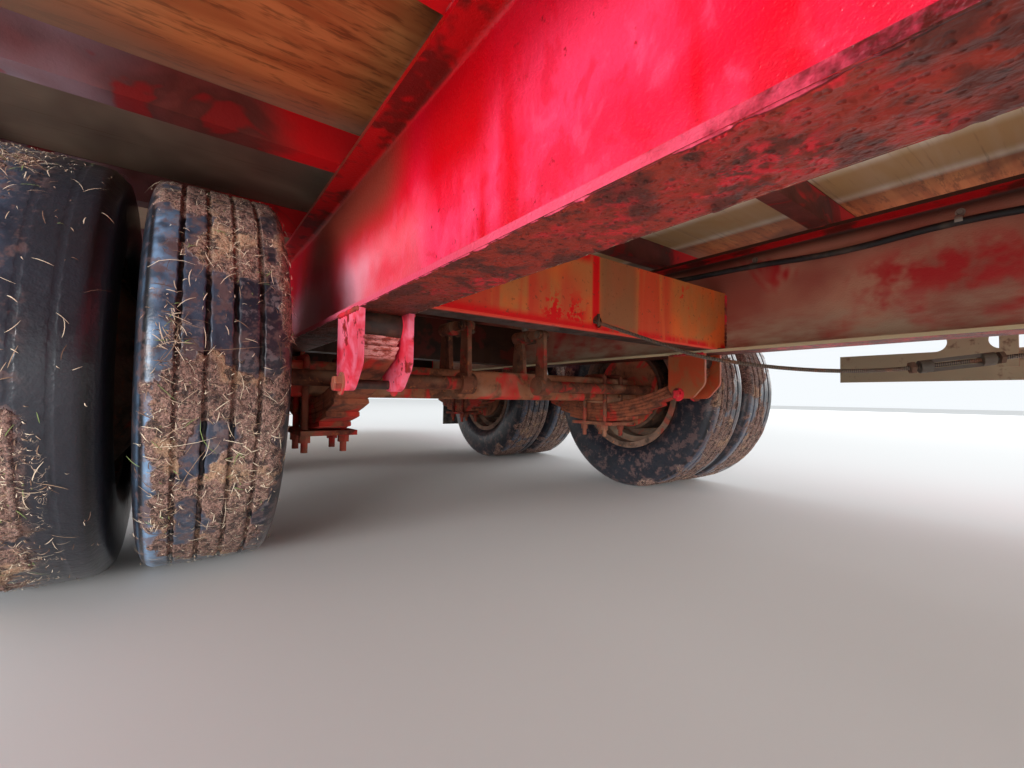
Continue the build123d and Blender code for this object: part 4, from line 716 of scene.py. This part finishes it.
shape = bmesh.new()
for axle_x in (front_axle, rear_axle):
    fork = axle_x + 0.118
    for lane in lever_lanes:
        for side in (-1, 1):
            disc(shape, (fork, lane + side * 0.0202, 0.5665), 0.003, 0.0125, 0.0120, turn=across_turn)
        split = lane + 0.0235
        cotter = [(fork, split, 0.5765), (fork, split, 0.5535), (axle_x + 0.122, split, 0.5485)]
        bar(shape, cotter, 0.0016, 6)
for place in (-0.045, 0.045):
    for up in (0.545, 0.675):
        hexagon(shape, (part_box("towing_eye")[0].x + 0.020, place, up), (1, 0, 0), 0.036, 0.016)
fit("frame_bolts", shape, dark_steel)

shape = bmesh.new()
guard_rear, guard_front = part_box("side_guard_left")[0].x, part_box("side_guard_left")[1].x
board_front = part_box("headboard")[1].x - 0.0001
guard_face, guard_pitch, board_pitch = 1.180, 0.387, 0.084
for way in (-1, 1):
    for k in range(8):
        x = guard_rear + 0.430 + k * guard_pitch
        if x < guard_front - 0.03:
            for up in (0.492, 0.628):
                hexagon(shape, (x, way * guard_face, up), (0, way, 0), 0.019, 0.0075)
    for k in range(14):
        for up in (0.936, 1.306):
            hexagon(shape, (board_front, way * (0.08 + k * board_pitch), up), (1, 0, 0), 0.015, 0.006)
fit("guard_bolts", shape, dark_steel)


# Return springs: a close coil of hard wire beside each brake ram, hooked at its ends to the
# lever's fork pin and to the ram's bracket, to pull the lever back.
spring_turns, turn_steps = 17, 9
spring_height, spring_radius = 0.556, 0.0075
shape = bmesh.new()
for axle_x in (front_axle, rear_axle):
    for lane in lever_lanes:
        coil = [Vector((axle_x - 0.012, lane + 0.036, spring_height))]
        for k in range(spring_turns * turn_steps + 1):
            turn = 2 * math.pi * k / turn_steps
            coil.append(Vector((axle_x - 0.004 + 0.098 * k / (spring_turns * turn_steps),
                                lane + 0.036 + spring_radius * math.cos(turn),
                                spring_height + spring_radius * math.sin(turn))))
        coil.append(Vector((axle_x + 0.112, lane + 0.018, 0.560)))
        bar(shape, coil, 0.0013, 6)
fit("return_springs", shape, dark_steel, smooth=True)


# Tyres: worn low-platform tyres on twin wheels, five ribs and four narrow grooves, blue-grey rubber
# caked with dried mud. The outer near one is almost bald. Each pair replaces its plain rings.
tyre_wall = [(-82, 224), (-84, 240), (-95, 247), (-104, 260), (-109, 278), (-111, 300), (-110.5, 322),
             (-109, 344), (-106, 364), (-102.5, 376), (-97.5, 385.5), (-91, 391.5)]
tyre_grooves = (-56, -19, 19, 56)
rib_places = (6, 12, 27.5, 37.5, 47.5, 62.5, 69, 77, 84)
tyre_tread = [(side * a, 395.2, "rib") for side in (-1, 1) for a in rib_places] + [(0, 395.2, "rib")]
for middle in tyre_grooves:
    tyre_tread.append((middle, 387.2, "floor"))
    for gap, reach, kind in ((5.0, 395.2, "rib"), (4.1, 394.4, "edge"), (3.1, 387.5, "floor")):
        tyre_tread += [(middle + side * gap, reach, kind) for side in (-1, 1)]
tyre_profile = [(a, r, "wall") for a, r in tyre_wall] + sorted(tyre_tread)
tyre_profile += [(-a, r, "wall") for a, r in reversed(tyre_wall)]
twin_centres = {"inner": 0.777, "outer": 1.022}
mud_marks = {   # turn from the front in degrees, place across in mm, how far each spreads, how thick
    "inner": [(62, 0, 15, 100, 1.35), (40, 25, 12, 52, 1.05), (29, 10, 9, 60, 0.6), (-4, -10, 7.5, 64, 1.2),
              (8, -62, 7, 20, 0.6), (-16, -66, 9, 24, 1.15), (-22, 46, 12, 36, 1.35), (-34, 25, 9, 48, 1.3),
              (-36, -66, 8, 20, 0.8), (-56, 0, 11, 90, 0.8), (18, 94, 34, 14, 0.8)],
    "outer": [(54, -20, 10, 50, 0.5), (-24, 0, 11, 44, 1.25), (-9, -30, 9, 30, 0.6),
              (-52, -30, 14, 70, 0.8)],
    "other": [(k * 40 + 11, across, 17, 84, 1.25)
              for k, across in enumerate((-40, 30, 0, 55, -60, 10, 40, -20, 20))],
}


def mud_cake(point, marks, axial, radius, kind):
    """How thickly mud lies on one point of a tyre, from nothing to one."""
    cake = sum(thick * math.exp(-((axial - across) / wide) ** 2) for across, wide, thick in marks)
    cake += 0.62 * field.fractal(point * 13, 0.9, 2.1, 4) + 0.20 * field.noise(point * 80) - 0.40
    if kind == "wall" and radius < 385:
        cake -= (385 - radius) / 130
    return min(1.0, max(0.0, cake * 2.4))


def tyre_ring(shape, mud_mark, tread_mark, centre_x, centre_y, rounds, seed, marks, bald):
    """One tyre: its profile carried round the axle, with grooves, wear and mud laid over it."""
    rows = []
    for step in range(rounds):
        turn = 2 * math.pi * step / rounds
        swing = 0.7 * math.sin(step * 0.9)
        cosine, sine = math.cos(turn), math.sin(turn)
        near_marks = []
        for at, across, far, wide, thick in marks:
            away = (math.degrees(turn) - at + 180) % 360 - 180
            if thick * math.exp(-(away / far) ** 2) > 0.03:
                near_marks.append((across, wide, thick * math.exp(-(away / far) ** 2)))
        row = []
        for axial, radius, kind in tyre_profile:
            if bald and kind in ("floor", "edge"):
                radius = 395.1 if kind == "edge" else 394.8
            if bald and abs(axial) > 55 and radius > 380:
                radius -= ((abs(axial) - 55) / 40) ** 2 * 5.5
            if kind in ("edge", "floor"):
                axial += swing
            point = Vector((radius * cosine, axial, radius * sine)) / 1000 + Vector((seed, seed * 2, 0))
            caked = mud_cake(point, near_marks, axial, radius, kind)
            crumb = field.noise(point * 150) + 0.5 * field.noise(point * 260)
            lift = caked * (1.1 + 1.5 * crumb) + 0.25 * crumb
            if kind == "floor":
                lift = caked * (4.5 + 2.5 * crumb)
            reach = min(radius + lift, 398.3) / 1000
            if kind == "wall" and radius < 385:
                reach = radius / 1000
                axial = math.copysign(min(abs(axial) + max(0.0, lift), 111), axial)
            vert = shape.verts.new((centre_x + reach * cosine, centre_y + axial / 1000,
                                    axle_height + reach * sine))
            vert[mud_mark] = caked
            vert[tread_mark] = Vector((turn * 0.398, axial / 1000, radius / 1000))
            row.append(vert)
        rows.append(row)
    skin(shape, rows + rows[:1], capped=False)


def tyre_finish():
    coat = Coat("muddy_rubber", rough=0.6, specular=0.4)
    mark = coat.add("Attribute", {}, out=2, attribute_name="mud")
    tread = coat.add("Attribute", {}, out=1, attribute_name="tread")
    axial = coat.add("SeparateXYZ", {"Vector": tread}, out=1)
    radius = coat.add("SeparateXYZ", {"Vector": tread}, out=2)
    fibres = coat.spots(110, 0.75, twist=1.6)
    crumbs = coat.spots(52, 0.7)
    clumps = coat.spots(15, 0.6)
    wall = coat.band(radius, 0.387, 0.376)
    # The near-black in the grooves is painted shade in the recesses.
    groove = coat.both(coat.band(radius, 0.3935, 0.3885), coat.rest(wall))
    out = coat.along("Y")
    # The pale blue-grey on the outward shoulders of the right-hand tyres is a painted sky reflection.
    lit_band = coat.both(coat.band(axial, -0.050, -0.096), coat.band(out, -0.50, -0.60))
    # The +Y half of each right-hand outer tyre is kept clean of mud and painted darker as shade.
    clean_shaded_half = coat.both(coat.band(out, -0.890, -0.905), coat.band(axial, -0.020, 0.030))
    rubber = coat.layers((56, 66, 82), [
        ((108, 136, 166), coat.sum(lit_band, coat.band(out, -1.02, -1.12, 0.8))),
        # painted shade: darker towards each tyre's +Y side, turned from the light
        ((34, 35, 42), coat.band(axial, -0.040, 0.070)),
        ((30, 33, 44), coat.band(coat.spots(12, 0.68), 0.44, 0.60, 0.8)),
        ((112, 102, 104), coat.both(coat.band(crumbs, 0.52, 0.64),
                                    coat.layer((0.6, 0.6, 0.6, 1), (0.1, 0.1, 0.1, 1), clean_shaded_half))),
        ((36, 38, 44), coat.both(clean_shaded_half, 0.8)),
        ((30, 32, 38), coat.both(wall, 0.9)),
        ((24, 24, 28), groove),
    ])
    mud = coat.layers((144, 112, 100), [
        ((88, 66, 60), coat.band(fibres, 0.42, 0.58)),
        ((172, 138, 108), coat.band(clumps, 0.54, 0.66, 0.7)),
        ((48, 37, 36), coat.band(crumbs, 0.48, 0.40, 0.85)),
    ])
    clean = coat.rest(coat.both(clean_shaded_half, coat.band(axial, 0.010, 0.040)))
    cover = coat.both(coat.band(coat.plus(mark, coat.both(crumbs, 0.7)), 0.52, 0.68), clean)
    thin = coat.both(coat.band(coat.plus(mark, coat.both(coat.spots(34, 0.75), 1.0)), 0.50, 0.62),
                     coat.both(clean, 0.72))
    colour = coat.layer(coat.layer(rubber, (92, 72, 70), thin), mud, cover)
    hairs = coat.spots(38, 0.6, detail=2, twist=2.2)
    hair = coat.both(coat.strip(hairs, 0.5, 0.004, 0.006),
                     coat.band(coat.sum(mark, coat.both(clumps, 0.5)), 0.30, 0.60))
    colour = coat.layer(colour, (206, 182, 158), coat.both(hair, 0.75))
    coat.relief(coat.layer((0.35, 0.35, 0.35, 1), coat.mix(fibres, hair, 0.6), cover), 0.0065, 1.0)
    coat.relief(coat.both(crumbs, coat.sum(cover, 0.2)), 0.0075, 0.8)
    return coat.finish(colour, coat.layer((150, 150, 150), (238, 238, 238), cover))


muddy_rubber = tyre_finish()
stations = [(axle + "_" + side, x, way) for axle, x in (("front", front_axle), ("rear", rear_axle))
            for side, way in (("left", 1), ("right", -1))]
for number, (station, axle_x, way) in enumerate(stations):
    shape = bmesh.new()
    mud_mark = shape.verts.layers.float.new("mud")
    tread_mark = shape.verts.layers.float_vector.new("tread")
    near = station == "front_right"
    for which, centre in twin_centres.items():
        marks = mud_marks[which if near else "other"]
        tyre_ring(shape, mud_mark, tread_mark, axle_x, way * centre, 640 if near else 240,
                  number * 7.3 + centre * 11, marks, near and which == "outer")
    tyre = fit("treads_" + station, shape, muddy_rubber, "wheels_" + station, smooth=True)
    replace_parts(tyre, "tyres_" + station)


# Chaff: dry grass and straw thrown up by mowing, stuck in the mud of every tyre, matted on the top
# of the near pair, with a few long stems that stand off.
def chaff_finish():
    coat = Coat("chaff", rough=0.85, specular=0.2)
    shade = coat.add("Attribute", {}, out=2, attribute_name="shade")
    colour = coat.layers((212, 196, 172), [
        ((150, 124, 102), coat.band(shade, 0.20, 0.50)),
        ((96, 74, 62), coat.band(shade, 0.60, 0.74)),
        ((118, 136, 84), coat.band(shade, 0.955, 0.965)),
    ])
    return coat.finish(colour)


def blade(shape, shade_mark, axle_x, centre, turn, offset, lean, long, wide, bow, shade):
    """Adds one flat straw lying on a tyre, bowed along its length and tucked under at its ends."""
    rows = []
    for step in range(5):
        share = step / 4 - 0.5
        swing = lean + bow * share
        here = turn + math.cos(swing) * share * long / 0.397
        sideways = offset + math.sin(swing) * share * long
        top = 0.3958 - max(0.0, abs(sideways) - 0.080) ** 2 * 22
        reach = min(0.3983, top + 0.0022 * (1 - (2 * share) ** 2))
        middle = Vector((axle_x + reach * math.cos(here), centre + sideways,
                         axle_height + reach * math.sin(here)))
        out = Vector((-math.sin(here) * math.sin(swing), -math.cos(swing), math.cos(here) * math.sin(swing)))
        out *= wide * (1.0 if 0 < step < 4 else 0.35)
        rows.append([shape.verts.new(middle + out), shape.verts.new(middle - out)])
    for vert in (vert for row in rows for vert in row):
        vert[shade_mark] = shade
    skin(shape, rows, closed=False, capped=False)


chaff_straw = chaff_finish()
for number, (station, axle_x, way) in enumerate(stations):
    chance = random.Random(40 + number)
    shape = bmesh.new()
    shade_mark = shape.verts.layers.float.new("shade")
    near = station == "front_right"
    for straw in range(3000 if near else 900):
        which = "inner" if straw % 2 else "outer"
        at, across, far, spread, thick = chance.choice(mud_marks[which if near else "other"])
        if chance.random() < 0.25:
            turn = chance.uniform(0, 2 * math.pi)
            offset = chance.uniform(-0.100, 0.100)
        else:
            turn = math.radians(at + chance.gauss(0, far * 0.7))
            offset = max(-0.104, min(0.104, (across + chance.gauss(0, spread * 0.6)) / 1000))
        long = chance.choice((0.004, 0.006, 0.008, 0.012, 0.018, 0.028)) * chance.uniform(0.7, 1.3)
        blade(shape, shade_mark, axle_x, way * twin_centres[which], turn, offset,
              chance.uniform(0, math.pi), long, chance.uniform(0.00025, 0.0006),
              chance.uniform(-0.35, 0.35), chance.random())
    for stem in range(22 if near else 6):
        centre = way * twin_centres["inner" if stem % 3 else "outer"]
        turn = math.radians(chance.choice((78, 60, 25, -5, -30)) + chance.gauss(0, 12))
        blade(shape, shade_mark, axle_x, centre, turn, chance.uniform(-0.07, 0.07),
              chance.uniform(0, math.pi), chance.uniform(0.05, 0.11), chance.uniform(0.0003, 0.0005),
              chance.uniform(-0.8, 0.8), chance.choice((0.1, 0.2, 0.5, 0.97)))
    fit("chaff_" + station, shape, chaff_straw, "wheels_" + station)


# Rims and hubs: pressed steel discs back to back on ten studs, with the hub's spigot through
# them, all dull with brake dust. The nuts, hub cap bolts and tyre valve go on here.
rim_dust = running_gear_finish("rim_dust", (118, 92, 78), (140, 66, 52), (150, 128, 108), 0.2)
stud_circle, cap_circle = 0.1125, 0.041
for station, axle_x, way in stations:
    dress(node["rims_" + station], rim_dust)
    dress(node["hub_" + station], dark_steel)
    shape = bmesh.new()
    for turn in angles(10):
        spoke = Vector((math.cos(turn), 0, math.sin(turn))) * stud_circle
        face = Vector((axle_x, way * 0.9055, axle_height)) + spoke
        hexagon(shape, face, (0, way, 0), 0.030, 0.022)
        disc(shape, face + Vector((0, way * 0.022, 0)), 0.044, 0.009, 0.008, 12, across_turn)
    for bolt in range(6):
        turn = 2 * math.pi * (bolt + 0.5) / 6
        place = Vector((axle_x + cap_circle * math.cos(turn), way * 1.0003,
                        axle_height + cap_circle * math.sin(turn)))
        hexagon(shape, place, (0, way, 0), 0.013, 0.007)
    valve = [(0, 0.93, 0.190), (0.004, 0.955, 0.188), (0.006, 0.985, 0.186)]
    bar(shape, [(axle_x + x, way * y, axle_height + z) for x, y, z in valve], 0.004, 10)
    fit("wheel_nuts_" + station, shape, dark_steel, "wheels_" + station)


# Side guards: slotted flat plates bolted to bars under the deck's edge. They are dull olive with
# road film inside, and sprayed red outside, like the raves above them.
def guard_finish():
    coat = Coat("guard_olive", rough=0.6, specular=0.35)
    colour = coat.layer((146, 144, 118), (168, 164, 134), coat.band(coat.spots(3), 0.4, 0.7))
    colour = coat.layer(colour, (112, 98, 78), coat.band(coat.spots(24, 0.7), 0.56, 0.72))
    outer = coat.band(coat.both(coat.facing("Y"), coat.along("Y")), -0.1, 0.1)
    faded = coat.layer((206, 24, 32), (170, 84, 66), coat.band(coat.spots(6, 0.65), 0.52, 0.72, 0.8))
    colour = coat.layer(colour, faded, outer)
    coat.relief(coat.spots(120), 0.0008, 0.5)
    return coat.finish(colour)


guard_olive = guard_finish()
dress(node["side_guard_left"], guard_olive)
dress(node["side_guard_right"], guard_olive)


# Handbrake cable: a wire rope from the lever to a hook in the front cross-member, with a strainer
# and lock nuts to take up its stretch.
def plain_finish(name, colour, dust, rough, dusty=0.5, metal=0.0):
    coat = Coat(name, rough=rough, specular=0.4, metal=metal)
    shade = coat.layer(colour, dust, coat.band(coat.spots(14, 0.65), 0.45, 0.75, dusty))
    coat.relief(coat.spots(200), 0.0006, 0.5)
    return coat.finish(shade)


def wire_finish():
    coat = Coat("cable_wire", rough=0.5, specular=0.5)
    lay = coat.add("TexWave", {"Vector": coat.stretched(1, 2.2, 2.2), "Scale": 120, "Distortion": 0.4},
                   out=1, bands_direction="X")
    colour = coat.layer((52, 46, 42), (124, 106, 90), coat.band(lay, 0.3, 0.7))
    colour = coat.layer(colour, (136, 84, 56), coat.band(coat.spots(30, 0.7), 0.5, 0.66, 0.7))
    coat.relief(lay, 0.0012, 0.9)
    return coat.finish(colour)


dress(node["handbrake_cable"], wire_finish())
dress(node["cable_strainer"], plain_finish("strainer_steel", (84, 76, 68), (120, 100, 80), 0.55, 0.6))
hook_place = Vector((front_axle + cross_fronts[0], -0.0454, 0.5412))
strainer_middle = Vector((front_axle + 1.051, 0.332, 0.438))
cable_way = Vector((239, 162, 39)).normalized()
shape = bmesh.new()
bar(shape, [hook_place + Vector((0.0035, 0, up)) for up in (-0.011, 0.018)], 0.0032, 10)
for end in (-1, 1):
    hexagon(shape, strainer_middle + cable_way * 0.062 * end, cable_way * end, 0.024, 0.008, washer=False)
fit("cable_fittings", shape, dark_steel)


# Brake hose: a nylon-braided rubber hose clipped along the left rail, with a pressed clip and a
# screw every 435 mm, and a brass union where it meets the ram's pipe.
hose_black = plain_finish("hose_black", (30, 30, 33), (104, 92, 80), 0.5, 0.6)
clip_zinc = plain_finish("clip_zinc", (150, 144, 136), (120, 92, 70), 0.4, 0.8, 0.4)
dress(node["brake_hose"], hose_black)
hose_line, hose_height = 0.522, 0.762
clip_gap, clip_thick, clip_half = 0.0088, 0.0010, 0.0065
shape = bmesh.new()
for clip in range(9):
    x = front_axle + 0.597 + clip * 0.435
    edges = []
    for edge, gap in ((-clip_half, clip_gap), (-clip_half, clip_gap + clip_thick),
                      (clip_half, clip_gap + clip_thick), (clip_half, clip_gap)):
        band = [(web_face, gap + 0.016), (web_face - (gap - clip_gap), gap + 0.004)]
        bends = [math.radians(60 + 24 * k) for k in range(11)]
        band += [(hose_line + gap * math.cos(bend), gap * math.sin(bend)) for bend in bends]
        edges.append([shape.verts.new((x + edge, y, hose_height + up)) for y, up in band])
    skin(shape, [list(section) for section in zip(*edges)])
    hexagon(shape, (x, 0.5330, 0.782), (0, -1, 0), 0.012, 0.005)
hexagon(shape, (front_axle + 0.030, 0.112, 0.5875), (0, 0, 1), 0.024, 0.012, washer=False)
fit("hose_clips", shape, clip_zinc)


# Mudflaps and lamps: plain black rubber flaps on the last bearer, and sealed lamps with a ribbed
# lens, red to brake and amber to turn.
def lens_finish():
    coat = Coat("lamp_lens", rough=0.18, specular=0.5)
    out = coat.size(coat.along("Y"))
    colour = coat.layer((196, 14, 18), (226, 112, 16), coat.band(out, 1.1345, 1.1355))
    colour = coat.layer(colour, (120, 88, 70), coat.band(coat.spots(20, 0.6), 0.55, 0.75, 0.5))
    return coat.finish(colour)


dress(node["mudflaps"], plain_finish("flap_rubber", (38, 38, 40), (120, 108, 94), 0.8, 0.8))
dress(node["tail_lamps"], plain_finish("lamp_case", (34, 33, 34), (96, 84, 74), 0.5, 0.6))
lamp_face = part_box("tail_lamps")[0].x
lens_foot, lens_height, lens_ribs = 0.4735, 0.0710, 14
shape = bmesh.new()
for way in (-1, 1):
    for low, high in ((0.975, 1.133), (1.137, 1.195)):
        rows = []
        for up in range(lens_ribs + 3):
            proud = -0.006 - 0.0012 * (up % 2) if 0 < up < lens_ribs + 2 else 0.0005
            height = lens_foot + lens_height * min(max((up - 1) / lens_ribs, 0.0), 1.0)
            rows.append([shape.verts.new((lamp_face + proud, way * side, height)) for side in (low, high)])
        skin(shape, rows, closed=False, capped=False)
        shape.faces.new([row[0] for row in rows])
        shape.faces.new([row[1] for row in rows])
        shape.faces.new((rows[0][0], rows[0][1], rows[-1][1], rows[-1][0]))
fit("lamp_lenses", shape, lens_finish())


# Deck screws: countersunk steel heads in rows through the boards into each bearer, a little proud
# now that the plywood has worn down round them.
shape = bmesh.new()
chance = random.Random(7)
for bearer in range(15):
    x = deck_front - bearer * bearer_pitch - 0.024
    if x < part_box("deck_boards")[0].x + 0.02:
        continue
    for k in range(17):
        place = (x + chance.uniform(-0.005, 0.005), -1.12 + k * 0.14 + chance.uniform(-0.006, 0.006), 0.9112)
        disc(shape, place, 0.0012, 0.0062, 0.0052, 10)
fit("deck_screws", shape, dark_steel)


# Handbrake grip: a ribbed rubber sleeve pushed over the top of the flat steel lever, so that it
# can be pulled on with a cold or gloved hand.
lever_back, lever_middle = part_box("handbrake_lever")[0].x, 0.4616
grip_foot = Vector((lever_back + 0.110, lever_middle, 0.620))
lever_top = Vector((lever_back + 0.020, lever_middle, 1.060))
lever_way = (lever_top - grip_foot).normalized()
side_way = Vector((lever_way.z, 0, -lever_way.x))
shape = bmesh.new()
rows = []
for step in range(25):
    middle = lever_top + lever_way * (0.003 - step * 0.0048)
    swell = 0.0012 if step % 2 else (0.0 if step else -0.002)
    wide, deep = side_way * (0.0175 + swell), Vector((0, 0.0085 + swell, 0))
    rows.append([shape.verts.new(middle + wide * math.cos(t) + deep * math.sin(t)) for t in angles(18)])
skin(shape, rows)
fit("lever_grip", shape, hose_black, smooth=True)
